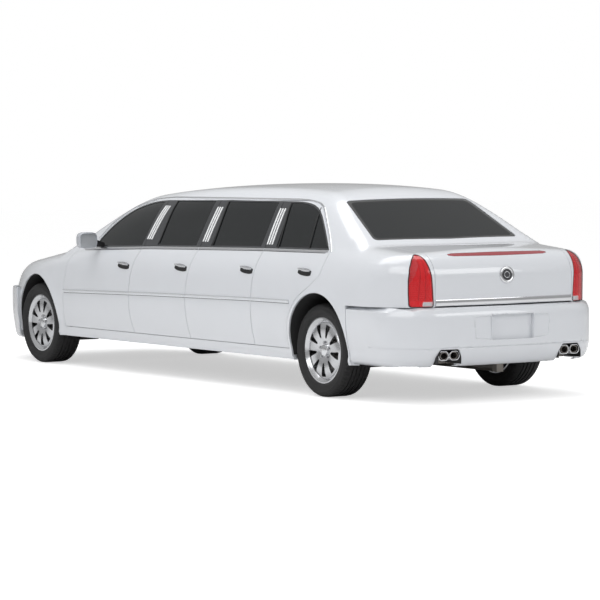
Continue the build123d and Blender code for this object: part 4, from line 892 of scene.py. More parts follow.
# the plate's recess, a shallow step on each side of it, a crease, and the exhaust notches
plateOutline = rounded([(-.185, .452), (.185, .452), (.19, .632), (-.19, .632)], .01)
sculptOutline = rounded([(-.322, .47), (-.189, .456), (-.192, .625), (-.335, .618)], .012)
notchOutline = rounded([(.437, .2), (.437, .345), (.465, .398), (.617, .398), (.645, .345),
                        (.645, .2)], .014)
crease = remove(endBlock(beyond["x"], 2.8, beyond["y"], .4035, .4075),
                wrapMesh("rearBumper", .0028))
rearOuter = remove(wrapMesh("rearBumper", 0), tailPrism(plateOutline, 3.266),
                   *bothSides(tailPrism, sculptOutline, 3.2885), crease)
rearInner = remove(wrapMesh("rearBumper", .011), endBlock(.35, 3.252, beyond["y"], .43, .65))
rearSheet = keep(remove(rearOuter, rearInner),
                 endBlock(beyond["x"], 2.5475, beyond["y"], .2705, .6935))
rearSheet = remove(rearSheet, *bothSides(tailPrism, notchOutline), wheelCut(rearAxle),
                   endBlock(.83, 2.3, 3.14, .2, .2765))
rearLining = remove(keep(cadCopy("rear_bumper"), wrapMesh("rearBumper", .0118)),
                    endBlock(.4, 3.24, beyond["y"], .42, .66),
                    *bothSides(tailPrism, notchOutline, 3.0))
finish("rearBumperSkin", joined(rearSheet, rearLining), [paint, jambPaint], "root", "paint",
       ("rear_bumper",))
print("bumpers cut")

# glass at the ends, with black bands
bandGlass = finishOf("bandGlass", (.02, .021, .022), .12, coat=.8, grain=300, bump=.01, vary=.1)
band = {"width": .028, "gap": .0022, "lap": .0002}
endSheet = sheetOf(*shell["endGlass"])
for name, opening, node, slot, glassFinish in (
        ("windscreenPane", screenCut, "windscreen", "clear_glass", clearGlass),
        ("rearPane", lightCut, "rear_window", "dark_glass", tintGlass)):
    pane = keep(endSheet.copy(), opening(band["width"]))
    rim = remove(keep(endSheet.copy(), opening(band["gap"])),
                 opening(band["width"] - band["lap"]))
    finish(name, joined(pane, rim), [glassFinish, bandGlass], "root", slot, (node,))

# dark liners inside the wheel arches
archLiner = {"outer": .3838, "inner": .3795, "x": (.72, .99)}
linerBlack = finishOf("archLiner", (.022, .022, .023), .75, grain=500, bump=.4, vary=.2,
                      film=.3, filmColor=(.12, .11, .1))
liners = []
for axle in (frontAxle, rearAxle):
    ring = archRing(axle, archLiner["outer"], range(-14, 195, 4))
    ring += archRing(axle, archLiner["inner"], range(194, -15, -4))
    liners.append(keep(prism(ring, "side", *archLiner["x"]), skinAt(shell["under"])))
finish("archLiners", paired(*liners), [linerBlack], "root", "trim_plastic")

# chrome, mouldings and handles along the side
# near black for the plastic trim, seals and mesh, and for the painted shade strips on the doors
recessBlack = finishOf("recessBlack", (.012, .012, .013), .45, grain=700, bump=.1, vary=.1)
barBright = finishOf("pillarBar", (.94, .95, .96), .25, metal=.15, coat=.5, grain=900,
                     bump=.02, vary=.03)
gripMetal = finishOf("handleMetal", (.62, .63, .65), .2, metal=.9, coat=.3, grain=900,
                     bump=.02, vary=.05)
dripPath = [(-1.365, 1.098), (-1.247, 1.233), (-1.024, 1.365), (-.752, 1.429), (-.43, 1.4475),
            (.26, 1.449), (1.30, 1.449), (1.60, 1.4475), (1.80, 1.422), (1.893, 1.376),
            (2.113, 1.196), (2.228, 1.072)]
mouldingLine = ((-1.80, .643), (-.29, .672), (1.24, .692), (1.82, .694))
beltEnds, mouldingEnd = (-1.565, 2.19), 1.79
# columns: front and rear end of each handle, height at both
handleRows = ((-.835, -.648, .899, .884), (.085, .272, .910, .894), (1.075, 1.255, .921, .906),
              (1.888, 2.066, .930, .915))
# columns: height above its line, width, how proud it stands
stripSizes = {"belt": (-.0085, .0165, .0045), "seal": (-.0195, .005, .0015),
              "moulding": (0, .024, .0105), "shade": (-.0135, .0045, .002),
              "lip": (.0095, .0085, .0125), "dish": (-.002, .056, .0014),
              "grip": (.011, .0245, .020)}
# three bright bars on each dark pillar, at these distances behind the shut line
pillarBar = {"behind": (.0135, .0470, .0805), "foot": 1.108, "rise": .27, "bow": .006,
             "width": .0175, "proud": .0045, "taper": .12}


def sideStrip(path, width, proud, **shape):
    return strip("body", "side", path, width, proud, **shape)


def lined(part, line, ys, **shape):
    lift, width, proud = stripSizes[part]
    return sideStrip([(y, lineHeight(line, y) + lift) for y in ys], width, proud, **shape)


def spanOf(number, height, inset=.004):
    # front and rear end of a door at one height
    column = 2 if height > .9 else 1
    front = rearAxle + shutLines[number - 1][column] + inset
    rear = rearAxle + (shutLines[number][column] if number < 4 else .05) - inset
    return front, rear


def barsOf(number):
    bars = []
    for behind in pillarBar["behind"] if number > 1 else ():
        low, high = (rearAxle + y + behind for y in shutLines[number - 1][2:])
        spots = [(low + (high - low) * t - pillarBar["bow"] * math.sin(math.pi * t),
                  pillarBar["foot"] + pillarBar["rise"] * t) for t in np.linspace(0, 1, 13)]
        bars.append(sideStrip(spots, pillarBar["width"], pillarBar["proud"],
                              taper=pillarBar["taper"]))
    return bars


doorTrims = {}
for number in (1, 2, 3, 4):
    front, rear = spanOf(number, 1.0)
    allYs = np.linspace(front, rear, 26)
    beltYs = np.linspace(beltEnds[0] if number == 1 else front,
                         beltEnds[1] if number == 4 else rear, 26)
    belt = lined("belt", beltLine, beltYs)
    seal = lined("seal", beltLine, [y for y in allYs if beltEnds[0] < y < beltEnds[1]])
    front, rear = spanOf(number, .68)
    ys = np.linspace(front, mouldingEnd if number == 4 else rear, 26)
    moulding = lined("moulding", mouldingLine, ys, crown=.55)
    # a thin dark strip under the moulding: a painted shadow
    shade = lined("shade", mouldingLine, ys)
    lip = lined("lip", mouldingLine, ys)
    y0, y1, z0, z1 = handleRows[number - 1]
    handleYs = np.linspace(y0, y1, 17)
    handleLine = [(y, z0 + (z1 - z0) * (y - y0) / (y1 - y0)) for y in handleYs]
    # a flat dark strip behind each handle: painted shade of the handle's recess
    dish = lined("dish", handleLine, handleYs, taper=.45, crown=.8)
    grip = lined("grip", handleLine, handleYs[1:-1], taper=.4, crown=.5)
    bars, gaskets = barsOf(number), []
    if number > 1:
        low, high = pillars[number - 2][2:]
        spots = [(low + (high - low) * t + .004, 1.084 + .337 * t) for t in np.linspace(0, 1, 9)]
        gaskets.append(sideStrip(spots, .014, .0006))
    if number == 4:
        spots = [(1.918 - .096 * t, 1.092 + .30 * t) for t in np.linspace(0, 1, 9)]
        gaskets.append(sideStrip(spots, .012, .0006, depth=.007))
    bright = joined(merged(belt, lip), merged(*bars) if bars else seal, grip)
    # the third mesh holds the painted handle shade and moulding shadow together with the black
    # seals and gaskets
    doorTrims[number] = (bright, moulding, merged(dish, shade, seal, *gaskets))
for side in ("left", "right"):
    for number, meshes in doorTrims.items():
        bright, moulding, dish = forSide(side, meshes)
        name, body = f"{side}Door{number}", f"{side}_door_{number}_body"
        second = barBright if number > 1 else rubberSeal
        finish(f"{name}Chrome", bright, [chromeTrim, second, gripMetal], body, "chrome")
        finish(f"{name}Moulding", moulding, [paint], body, "paint")
        finish(f"{name}ShadeAndSeals", dish, [recessBlack], body, "trim_plastic")
drip = sideStrip(smoothPath(dripPath, 120), .0125, .0055)
finish("dripChrome", paired(drip), [chromeTrim], "root", "chrome")
print("side trims laid")

# mirrors
# the mirror's face: a flat light grey as painted reflection, with a little real metal reflection on
# top
mirrorGlass = finishOf("mirrorGlass", (.55, .57, .6), .14, metal=.35, coat=.6, grain=50,
                       bump=.002, vary=.06, spread=.01)
# the housing is body colour; its paint is the body's darkened to two thirds as painted shade
mirrorShell = finishOf("mirrorShell", (.5, .52, .56), .24, coat=1, grain=2000, bump=.012,
                       vary=.02, film=.05, spread=.02)
mirrorAt = {"x": 1.018, "y": -1.22, "z": 1.087, "half": (.0865, .052, .069), "power": .55}
mx, my, mz = mirrorAt["x"], mirrorAt["y"], mirrorAt["z"]
mouth = rounded([(mx - .077, mz - .056), (mx + .077, mz - .058), (mx + .079, mz + .052),
                 (mx - .073, mz + .058)], .026)
glassEdge = rounded([(mx - .074, mz - .053), (mx + .074, mz - .055), (mx + .076, mz + .049),
                     (mx - .070, mz + .055)], .024)
stalkEdge = [(.86, 1.028), (.945, 1.038), (.968, 1.06), (.968, 1.10), (.93, 1.088), (.86, 1.062)]
housing = remove(pillow((mx, my, mz), mirrorAt["half"], mirrorAt["power"]),
                 block(.8, beyond["x"], my + .036, my + .1, .9, 1.3),
                 prism(mouth, "rear", my + .022, my + .05))
stalk = prism(stalkEdge, "rear", my - .026, my + .022)
mirrorPane = prism(glassEdge, "rear", my + .0215, my + .0265)
for side in ("left", "right"):
    shape, pane = forSide(side, (joined(housing, stalk), mirrorPane))
    body = f"{side}_door_1_body"
    finish(f"{side}MirrorHousing", shape, [mirrorShell, recessBlack], body, "mirror_paint",
           (f"{side}_mirror",), bevel=.0015)
    finish(f"{side}MirrorGlass", pane, [mirrorGlass], body, "chrome")
print("mirrors made")

# tail: lamps, lid trim, badge and exhaust tips
redLens = finishOf("redLens", (.80, .012, .02), .1, coat=1, grain=90, bump=.01, vary=.06,
                   alpha=.42, spread=.02)
redCell = finishOf("redCell", (.88, .03, .035), .3, coat=.4, grain=60, bump=.02, vary=.12,
                   glow=.22)
darkRed = finishOf("darkRed", (.42, .008, .014), .3, coat=.5, grain=200, bump=.05, vary=.1)
ribDark = finishOf("lampRib", (.2, .004, .01), .3, coat=.3, grain=200, bump=.05, vary=.1)
stopRed = finishOf("stopRed", (.34, .035, .045), .16, coat=.8, grain=200, bump=.05, vary=.1)
clearLens = finishOf("clearLens", (.8, .82, .84), .06, coat=1, grain=60, bump=.01, vary=.02,
                     alpha=.45, spread=.02)
lampSilver = finishOf("lampSilver", (.82, .83, .84), .16, metal=1, grain=300, bump=.02,
                      vary=.06)
# the lamp's layers, as distances in from the surface
lampLayers = {"lens": (0, .004), "ribs": (.0085, .0145), "cells": (.0145, .021),
              "gasket": (-.0012, .004)}
lampRib = {"count": 21, "low": .745, "high": 1.04, "pitch": .0145, "thick": .0045}
reversing = rounded([(.631, .7045), (.704, .7045), (.700, .737), (.633, .737)], .004)
reversingInner = rounded([(.636, .7095), (.698, .7095), (.695, .732), (.637, .732)], .003)
lensSheet, cellSheet = sheetOf(*lampLayers["lens"]), sheetOf(*lampLayers["cells"])
ribSheet = sheetOf(*lampLayers["ribs"])


def ribPrism(outline):
    return tailPrism(outline, 2.95, 3.4)


redPart = remove(keep(lensSheet.copy(), tailPrism(lampOutline(.001))), tailPrism(reversing))
clearPart = keep(lensSheet.copy(), tailPrism(reversing))
cellPart = keep(cellSheet.copy(), tailPrism(lampOutline(.003)))
ribs = []
for index in range(lampRib["count"]):
    height = lampRib["low"] + index * lampRib["pitch"]
    inner = .642 + .025 * (height - .7) / .37
    outer = .779 - .05 * max((height - .88) / .16, 0) ** 2
    top = height + lampRib["thick"]
    if height < lampRib["high"]:
        ribs.append(ribPrism([(inner, height), (outer, height), (outer, top), (inner, top)]))
# two upright walls between the cells
walls = [ribPrism([(a, .745), (b, 1.045), (b + .004, 1.045), (a + .004, .745)])
         for a, b in ((.676, .672), (.722, .700))]
ribPart = merged(*[keep(ribSheet.copy(), one) for one in ribs])
wallPart = merged(*[keep(ribSheet.copy(), one) for one in walls])
lampBack = keep(cadCopy("tail_lamps"), skinAt(.021),
                merged(*bothSides(tailPrism, lampOutline(.004))))
reversingCell = keep(ribSheet.copy(), ribPrism(reversingInner))
gasket = remove(keep(sheetOf(*lampLayers["gasket"]), tailPrism(lampOutline(-.001))),
                tailPrism(lampOutline(.0035), 2.8, 3.6))
finish("tailLampLenses", joined(paired(redPart), paired(clearPart)), [redLens, clearLens],
       "root", "red_lens", ("tail_lamps",))
cells = [paired(mesh) for mesh in (cellPart, ribPart, wallPart, reversingCell)]
finish("tailLampCells", joined(*cells, lampBack),
       [redCell, darkRed, ribDark, lampSilver, darkRed], "root", "red_lens")
stopInner = rounded([(x * .9985, z + (.001 if z < 1.064 else -.001)) for x, z in stopEdge], .004)
stopSheet = keep(lensSheet.copy(), tailPrism(stopInner, 3.0, 3.4))
stopBack = keep(cadCopy("stop_lamp"), skinAt(.006))
finish("tailLampGaskets", paired(gasket), [rubberSeal], "root", "trim_plastic")
finish("stopLampLens", joined(stopSheet, stopBack), [stopRed, darkRed], "boot_lid_body",
       "red_lens", ("stop_lamp",))
lidTrim = strip("body", "rear", [(x, .7262) for x in np.linspace(-.6085, .6085, 61)], .044,
                .008, crown=.55)
finish("lidTrimBar", lidTrim, [chromeTrim], "boot_lid_body", "chrome")


def waysRound(facing, squeeze, around):
    # directions square to one, all the way round it
    facing = facing.normalized()
    across = Vector((0, 0, 1)).cross(facing).normalized()
    lift = facing.cross(across)
    turns = [2 * math.pi * step / around for step in range(around)]
    ways = [across * math.cos(turn) + lift * (math.sin(turn) * squeeze) for turn in turns]
    return facing, ways


def ringAround(center, facing, outer, inner, proud, squeeze, around=48):
    # a domed ring that lies square to a direction
    facing, ways = waysRound(facing, squeeze, around)
    middle, half = (outer + inner) / 2, (outer - inner) / 2
    shape = ((-1, -.004), (-1, proud * .4), (-.5, proud * .9), (0, proud), (.5, proud * .9),
             (1, proud * .4), (1, -.004))
    build = bmesh.new()
    rings = [[build.verts.new(center + way * (middle + half * s) + facing * h)
              for s, h in shape] for way in ways]
    for index, one in enumerate(rings):
        bridge(build, one, rings[(index + 1) % around])
    return meshFrom(build)


def discAt(center, facing, radius, proud, squeeze, around=48, dome=.3):
    # a shallow dome on a short rim
    facing, ways = waysRound(facing, squeeze, around)
    shape = ((1, -.004), (1, proud * (1 - dome)), (.7, proud * (1 - dome * .35)),
             (.35, proud * (1 - dome * .1)))
    build = bmesh.new()
    rings = [[build.verts.new(center + way * (radius * r) + facing * h) for way in ways]
             for r, h in shape]
    for one, two in zip(rings, rings[1:]):
        bridge(build, one, two)
    build.faces.new(rings[0][::-1])
    build.faces.new(rings[-1])
    return meshFrom(build)


# a plain ring and disc on the boot lid
badgeFinish = finishOf("badgeFace", (.045, .046, .05), .4, grain=600, bump=.05, vary=.1)
badge = {"height": .914, "squeeze": .93, "ring": (.065, .044, .0075), "disc": (.0442, .0045),
         "inner": (.026, .0205, .0025), "step": .0035}
spot, facing = skinPoint("body", "rear", 0, badge["height"])
badgeMesh = joined(ringAround(spot, facing, *badge["ring"], badge["squeeze"]),
                   discAt(spot, facing, *badge["disc"], badge["squeeze"]),
                   ringAround(spot + facing * badge["step"], facing, *badge["inner"],
                              badge["squeeze"]))
finish("lidBadgeRing", badgeMesh, [chromeTrim, badgeFinish, chromeTrim], "boot_lid_body",
       "chrome")

# the exhaust tips, two in each surround
tip = {"x": .541, "z": .352, "y": 3.255, "apart": .048, "half": (.0445, .034), "corner": .019,
       "bore": (.87, .84)}
outer = rounded([(.4375, .29), (.4375, .345), (.4655, .3975), (.6165, .3975), (.6445, .345),
                 (.6445, .29)], .012)
inner = rounded([(.4425, .24), (.4425, .342), (.469, .391), (.613, .391), (.6395, .342),
                 (.6395, .24)], .012)
surround = remove(prism(outer, "rear", 3.03, 3.262), prism(inner, "rear", 3.0, 3.3))
finish("exhaustSurrounds", paired(surround), [recessBlack], "root", "trim_plastic")
tips = []
(w, h), c = tip["half"], tip["corner"]
octagon = [(-w, -h + c), (-w, h - c), (-w + c, h), (w - c, h), (w, h - c), (w, -h + c),
           (w - c, -h), (-w + c, -h)]
boreX, boreZ = tip["bore"]
for center in (tip["x"] - tip["apart"], tip["x"] + tip["apart"]):
    outer = rounded([(center + a, tip["z"] + b) for a, b in octagon], .009)
    inner = rounded([(center + a * boreX, tip["z"] + b * boreZ) for a, b in octagon], .008)
    tips.append(remove(prism(outer, "rear", 3.09, tip["y"] + .003),
                       prism(inner, "rear", 3.05, 3.3)))
finish("exhaustTips", paired(*tips), [chromeTrim], "root", "steel", bevel=.0012)
print("tail dressed")

# wheels: tyres with tread, cast rims, caps, nuts and brake discs
wheel = {"x": .788, "z": .346, "front": frontAxle, "rear": rearAxle, "spokes": 9, "nuts": 5,
         "nutCircle": .057}
tyre = {"top": .3458, "crown": .3459, "groove": .339, "steps": 288, "dent": .0055, "every": 4}
tyreRubber = finishOf("tyreRubber", (.017, .017, .018), .68, grain=1300, bump=.35, vary=.2,
                      film=.12, filmColor=(.1, .095, .09))
castAlloy = finishOf("castAlloy", (.66, .67, .69), .17, metal=1, grain=900, bump=.03, vary=.05,
                     film=.12, spread=.05)
brakeIron = finishOf("brakeIron", (.26, .25, .24), .34, metal=1, grain=500, bump=.1, vary=.18)
nutSteel = finishOf("nutSteel", (.5, .5, .51), .3, metal=1, grain=400, bump=.05, vary=.1)

# profiles: radius and distance out from the wheel's middle plane
top, crown, groove = tyre["top"], tyre["crown"], tyre["groove"]
tread = [(top, .070), (top, .057), (groove, .0565), (groove, .0455), (top, .045), (crown, .031),
         (top, .023), (groove, .0225), (groove, .0115), (top, .011), (crown, 0)]
sidewall = [(.240, .098), (.250, .108), (.262, .1135), (.264, .1155), (.268, .1155),
            (.270, .1165), (.292, .1215), (.300, .122), (.302, .1235), (.307, .1235),
            (.309, .1215), (.318, .120), (.330, .113), (.338, .104), (.343, .095), (.3445, .080)]
outside = sidewall + tread
profile = outside + [(r, -x) for r, x in outside[::-1][1:]]
profile += [(.228, -.096), (.226, -.05), (.226, .05), (.228, .096)]
shoulder = {i for i, (r, x) in enumerate(profile) if .337 < r < .3452 and abs(x) > .075}
facePart = [(.020, .078), (.060, .084), (.075, .090), (.11, .0965), (.16, .098), (.198, .092),
            (.208, .084), (.209, .058), (.16, .066), (.11, .062), (.075, .055), (.020, .050)]
barrelPart = [(.244, .103), (.244, .096), (.236, .092), (.229, .085), (.222, .06), (.214, .02),
              (.214, -.06), (.226, -.09), (.236, -.094), (.244, -.098), (.244, -.103),
              (.232, -.103), (.216, -.092), (.204, -.06), (.204, .02), (.206, .06), (.206, .08),
              (.214, .088), (.228, .098), (.236, .104)]
capPart = [(.0008, .0965), (.018, .096), (.030, .0945), (.036, .092), (.036, .07), (.0008, .07)]
capRingPart = [(.0365, .093), (.041, .0925), (.043, .089), (.043, .078), (.0365, .078)]
brakePart = [(.075, .022), (.165, .022), (.165, .0), (.075, .0)]
hatPart = [(.0008, .048), (.07, .048), (.078, .044), (.078, .0), (.0008, .0)]
nutPart = [(.0006, .0995), (.006, .0990), (.0085, .0965), (.0085, .07), (.0006, .07)]
pocketPart = [(.0005, .13), (.0125, .13), (.0125, .080), (.0005, .080)]
# one opening between two spokes: radius and angle from its middle in degrees
openingCorners = [(.094, 4.6), (.15, 7.3), (.1985, 9.2), (.1985, -9.2), (.15, -7.3), (.094, -4.6)]


def shoulderDent(step, index):
    return tyre["dent"] if index in shoulder and step % tyre["every"] == 0 else 0


def onNutCircle(mesh, number):
    turn, radius = math.radians(90 + 360 / wheel["nuts"] * number), wheel["nutCircle"]
    return moved(mesh, (0, radius * math.cos(turn), radius * math.sin(turn)))


tyreMesh = lathe(profile, tyre["steps"], shoulderDent)
openings = []
for spoke in range(wheel["spokes"]):
    middle = math.radians(90 + 360 / wheel["spokes"] * (spoke + .5))
    corners = [(r * math.cos(middle + math.radians(a)), r * math.sin(middle + math.radians(a)))
               for r, a in openingCorners]
    openings.append(prism(rounded(corners, .014), "side", .02, .14))
pockets = [onNutCircle(lathe(pocketPart, 24), n) for n in range(wheel["nuts"])]
nuts = [onNutCircle(lathe(nutPart, 6), n) for n in range(wheel["nuts"])]
rimFace = remove(lathe(facePart, 144), merged(*openings), merged(*pockets))
rimMesh = joined(merged(rimFace, lathe(barrelPart, 144)),
                 merged(lathe(capPart, 64), lathe(capRingPart, 64)),
                 merged(lathe(brakePart, 96), lathe(hatPart, 64)), merged(*nuts))
rimFinishes = [castAlloy, chromeTrim, brakeIron, nutSteel]
for end in ("front", "rear"):
    for side in ("left", "right"):
        for part, mesh, finishes, slot, soft in (
                ("Tyre", tyreMesh, [tyreRubber], "tyre_rubber", 0),
                ("Rim", rimMesh, rimFinishes, "rim_metal", .0012)):
            shaped, = forSide(side, [moved(mesh, (wheel["x"], wheel[end], wheel["z"]))])
            finish(f"{end}{side.title()}{part}", shaped, finishes, f"{end}_{side}_wheel", slot,
                   (f"{end}_{side}_{part.lower()}",), bevel=soft)
print("wheels made")

# nose: lamps, grille and intake
lampClear = finishOf("headLampLens", (.85, .87, .88), .04, coat=1, grain=60, bump=.008,
                     vary=.02, alpha=.28, spread=.015)
bowlSilver = finishOf("lampBowl", (.86, .87, .88), .1, metal=1, grain=120, bump=.05, vary=.05)
housingDark = finishOf("lampHousing", (.09, .092, .097), .35, metal=.4, coat=.3, grain=500,
                       bump=.05, vary=.12)
# columns: across, height and radius of each bowl in a headlamp
bowlRows = ((.437, .713, .037), (.53, .722, .037), (.628, .738, .037))
bucket = {"wall": (.0128, .085), "floor": (.079, .085)}
intake = {"rows": 9, "low": .299, "pitch": .0125, "reach": .462, "columns": 15,
          "apart": .0285, "wire": .003}


def lampEdge(sideways, low, high):
    # the lamp's outline with its sides, foot and head moved
    return rounded([(x + (sideways if x < .5 else -sideways), z + (low if z < .73 else high))
                    for x, z in lampMouth], .018)


headLens = keep(sheetOf(*lampLayers["lens"]), block(.3, .8, -beyond["y"], -2.8, .6, .85),
                nosePrism(lampEdge(.0015, .0015, -.0015), high=-2.8))
bowls = []
for across, height, radius in bowlRows:
    place, facing = skinPoint("body", "front", across, height)
    bowl = [(radius, -.016), (radius + .002, -.02), (radius * .96, -.05), (radius * .7, -.068),
            (radius * .3, -.076), (.0008, -.078), (.0008, -.07), (radius * .28, -.068),
            (radius * .62, -.06), (radius * .86, -.045), (radius * .95, -.02)]
    bulb = [(.0008, -.032), (.008, -.034), (.010, -.042), (.010, -.066), (.0008, -.066)]
    for outline in (bowl, bulb):
        shape = lathe([(r, -x) for r, x in outline], 48)
        shape.transform(Matrix.Translation((across, place.y - .002, height))
                        @ Matrix.Rotation(math.radians(90), 4, "Z"))
        bowls.append(shape)
mouthOuter = nosePrism(lampEdge(-.004, -.004, .003), high=-2.7)
mouthInner = nosePrism(rounded(lampMouth, .018), -3.6, -2.6)
lampWall = remove(keep(sheetOf(*bucket["wall"]), mouthOuter.copy()), mouthInner)
lampFloor = keep(sheetOf(*bucket["floor"]), mouthOuter)
finish("headLampLenses", paired(headLens), [lampClear], "root", "clear_lens", ("headlamps",))
finish("headLampBowls", joined(paired(*bowls), merged(paired(lampWall), paired(lampFloor))),
       [bowlSilver, housingDark], "root", "clear_lens")
wires = []
for row in range(intake["rows"]):
    height = intake["low"] + row * intake["pitch"]
    reach = intake["reach"] - .03 * (height - .29) / .12
    path = [(x, height) for x in np.linspace(-reach, reach, 25)]
    wires.append(strip("frontBumper", "front", path, intake["wire"], -.012, depth=.02))
for column in range(-intake["columns"], intake["columns"] + 1):
    path = [(column * intake["apart"], height) for height in (.295, .406)]
    wires.append(strip("frontBumper", "front", path, intake["wire"], -.013, depth=.021))
finish("intakeMesh", merged(*wires), [recessBlack], "root", "trim_plastic")
print("nose dressed")

# cabin and chassis
leather = finishOf("blackLeather", (.045, .044, .046), .5, coat=.12, grain=520, bump=.35,
                   vary=.16, spread=.1)
carpet = finishOf("cabinCarpet", (.04, .04, .042), .95, grain=1800, bump=.9, vary=.3,
                  distance=.002)
dashGrain = finishOf("dashPlastic", (.05, .05, .053), .6, grain=1100, bump=.3, vary=.1)
darkSteel = finishOf("chassisBlack", (.04, .04, .042), .6, metal=.2, grain=380, bump=.3,
                     vary=.25, film=.5, filmColor=(.16, .14, .12))
castIron = finishOf("castIron", (.2, .2, .205), .55, metal=.8, grain=260, bump=.5, vary=.2,
                    film=.4, filmColor=(.2, .17, .14))
pipeSteel = finishOf("pipeSteel", (.33, .31, .29), .38, metal=1, grain=220, bump=.15,
                     vary=.22, film=.35, filmColor=(.2, .17, .14))
# columns: node, cushion's front y, base z, pads as (middle x, half width)
seatRows = (("front_seats", -1.110, .32, ((.375, .262), (-.375, .262))),
            ("second_row_seat", -.150, .32, ((.425, .212), (0, .212), (-.425, .212))),
            ("third_row_seat", .780, .32, ((.425, .212), (0, .212), (-.425, .212))),
            ("rear_seat", 1.730, .47, ((.392, .195), (0, .195), (-.392, .195))))
# columns: part, distance behind the cushion's front, height, width (0 fills the place),
# length, thickness, leaning or not, sewn channels
padRows = (("Cushion", .262, .527, 0, .50, .145, False, 4),
           ("Back", .585, .825, 0, .56, .115, True, 4),
           ("Headrest", .70, 1.105, .25, .105, .085, True, 2))
seat = {"lean": math.atan2(.14, .53), "top": .455, "aisle": .11, "between": .006}
sewing = {"dip": .007, "groove": .008, "pullX": .010, "pullY": .008}


def padding(center, size, tilt, channels):
    # a crowned pad with sewn channels, its sides pulled in between the corners
    half = [length / 2 for length in size]
    build = bmesh.new()
    build.from_mesh(pillow((0, 0, 0), half, .3, 96, 48))
    for v in build.verts:
        u, w = v.co.x / half[0], v.co.y / half[1]
        away = min(abs((u * .5 + .5) * channels - k) for k in range(1, channels))
        away = away / channels * size[0]
        dip = sewing["dip"] * math.exp(-(away / sewing["groove"]) ** 2)
        if v.co.z > 0 and abs(w) < .8:
            v.co.z -= dip
        v.co.x -= math.copysign(sewing["pullX"] * (1 - abs(w) ** 2) * abs(u) ** 3, u)
        v.co.y -= math.copysign(sewing["pullY"] * (1 - u * u) * abs(w) ** 3, w)
    bmesh.ops.rotate(build, verts=build.verts, cent=(0, 0, 0),
                     matrix=Matrix.Rotation(tilt, 3, "X"))
    bmesh.ops.translate(build, verts=build.verts, vec=center)
    return meshFrom(build)


for node, frontY, baseZ, pads in seatRows:
    stem = "".join(word.title() for word in node.split("_"))
    stem = stem[0].lower() + stem[1:]
    wide = sum(pads[0])
    spans = ((seat["aisle"], wide), (-wide, -seat["aisle"]))
    bases = []
    for low, high in spans if node == "front_seats" else ((-wide, wide),):
        bases.append(block(low + .02, high - .02, frontY + .03, frontY + .60, baseZ + .002,
                           seat["top"]))
        board = block(low + .012, high - .012, -.022, .022, 0, .54)
        board.transform(Matrix.Translation((0, frontY + .585, .53))
                        @ Matrix.Rotation(-seat["lean"], 4, "X"))
        bases.append(board)
    finish(f"{stem}Base", merged(*bases), [dashGrain], "root", "seat_leather", (node,),
           bevel=.012)
    for number, (middle, halfWide) in enumerate(pads, 1):
        for part, behind, height, width, length, thick, leaning, channels in padRows:
            size = (width or 2 * halfWide - seat["between"], length, thick)
            tilt = math.radians(90) - seat["lean"] if leaning else 0
            mesh = padding((middle, frontY + behind, height), size, tilt, channels)
            pad = finish(f"{stem}{part}{number}", mesh, [leather], "root", "seat_leather",
                         sharp=60)
print("seats made")

nodeFinishes = {
    "floor_pan": carpet, "front_frame": darkSteel, "front_suspension": castIron,
    "rear_axle": castIron, "engine": castIron, "fuel_tank": darkSteel, "exhaust": pipeSteel,
    "wheel_housings": darkSteel, "dashboard": dashGrain, "steering_column": dashGrain,
    "steering_wheel": leather, "grille": chromeTrim, "left_knuckle": castIron,
    "right_knuckle": castIron,
}
for node, plain in nodeFinishes.items():
    data = nodes[node].data
    data.materials.clear()
    data.materials.append(plain)
print("cabin and chassis finished")

# camera; angles in degrees, lens in millimetres
view = {"place": (12.4168, 19.7154, 1.8183), "yaw": -147.173, "pitch": -2.9936,
        "roll": -.4546, "lens": 171.38}
yaw, pitch, roll = (math.radians(view[key]) for key in ("yaw", "pitch", "roll"))
forward = Vector((math.sin(yaw) * math.cos(pitch), math.cos(yaw) * math.cos(pitch),
                  math.sin(pitch)))
right = Vector((math.cos(yaw), -math.sin(yaw), 0))
up = right.cross(forward)
turnedRight = right * math.cos(roll) + up * math.sin(roll)
turnedUp = up * math.cos(roll) - right * math.sin(roll)
eye = bpy.data.cameras.new("camera")
eye.lens, eye.sensor_width, eye.clip_end = view["lens"], 36, 200
eyeObject = addObject("camera", eye)
columns = Matrix((turnedRight, turnedUp, -forward)).transposed().to_4x4()
eyeObject.matrix_world = Matrix.Translation(view["place"]) @ columns
bpy.context.scene.camera = eyeObject

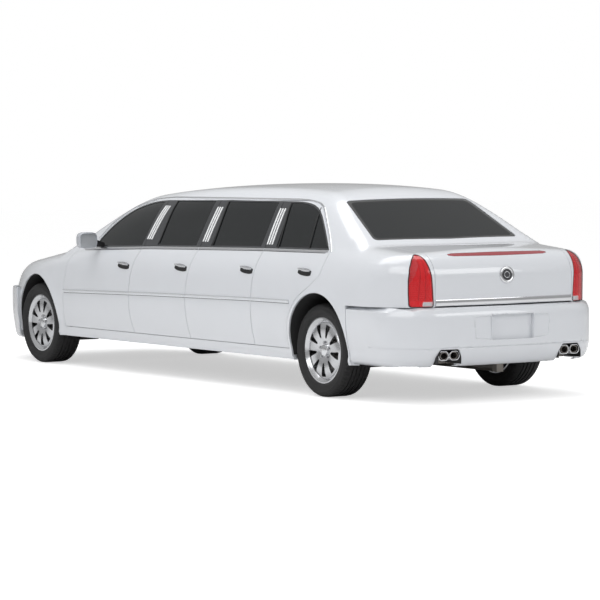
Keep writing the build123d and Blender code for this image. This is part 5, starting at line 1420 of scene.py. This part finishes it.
# light and floor
studio = {"background": 1.0, "skyLow": .42, "skyHigh": .72, "topPower": 360, "sidePower": 150,
          "floorSize": 60, "floorColor": .84, "floorGlow": .55}
world = bpy.data.worlds.new("studio")
bpy.context.scene.world = world
world.use_nodes = True
sky = world.node_tree
sky.nodes.clear()
place = addNode(sky, "TexCoord")
split = addNode(sky, "SeparateXYZ")
rise = addNode(sky, "MapRange", {"From Min": -.05, "From Max": .8, "To Min": studio["skyLow"],
                                 "To Max": studio["skyHigh"]})
light = addNode(sky, "Background")
plain = addNode(sky, "Background", {"Color": (1, 1, 1, 1), "Strength": studio["background"]})
path = addNode(sky, "LightPath")
seen = addNode(sky, "Math", operation="MAXIMUM")
mix = addNode(sky, "MixShader")
out = addNode(sky, "OutputWorld")
wire(sky, (place, "Generated", split, "Vector"), (split, "Z", rise, "Value"),
     (rise, "Result", light, "Strength"), (path, "Is Camera Ray", seen, 0),
     (path, "Is Transmission Ray", seen, 1), (seen, "Value", mix, "Fac"),
     (light, "Background", mix, 1), (plain, "Background", mix, 2), (mix, "Shader", out, "Surface"))


def softbox(name, spot, aim, size, power):
    lamp = bpy.data.lights.new(name, "AREA")
    lamp.shape, lamp.size, lamp.size_y, lamp.energy = "RECTANGLE", size[0], size[1], power
    thing = addObject(name, lamp)
    thing.location = spot
    thing.rotation_euler = (Vector(aim) - Vector(spot)).to_track_quat("-Z", "Y").to_euler()


softbox("topLight", (1, 0, 7.5), (0, 0, 0), (6, 9), studio["topPower"])
softbox("sideLight", (8, 5, 5), (0, 0, .6), (6, 4), studio["sidePower"])
softbox("tailLight", (-3, 10, 5), (0, 2, .6), (6, 3), studio["sidePower"])

ground = bmesh.new()
bmesh.ops.create_grid(ground, x_segments=2, y_segments=2, size=studio["floorSize"])
floorObject = addObject("studioFloor", meshFrom(ground))
floorFinish = bpy.data.materials.new("studioFloor")
floorFinish.use_nodes = True
tree = floorFinish.node_tree
shader = tree.nodes["Principled BSDF"]
shader.inputs["Base Color"].default_value = (*[studio["floorColor"]] * 3, 1)
shader.inputs["Roughness"].default_value = .9
bright = addNode(tree, "Emission", {"Strength": studio["floorGlow"]})
blend = addNode(tree, "AddShader")
ray = addNode(tree, "LightPath")
wire(tree, (ray, "Is Camera Ray", bright, "Color"), (shader, "BSDF", blend, 0),
     (bright, "Emission", blend, 1),
     (blend, "Shader", tree.nodes["Material Output"], "Surface"))
floorObject.data.materials.append(floorFinish)
bpy.context.scene.view_settings.view_transform = "Standard"
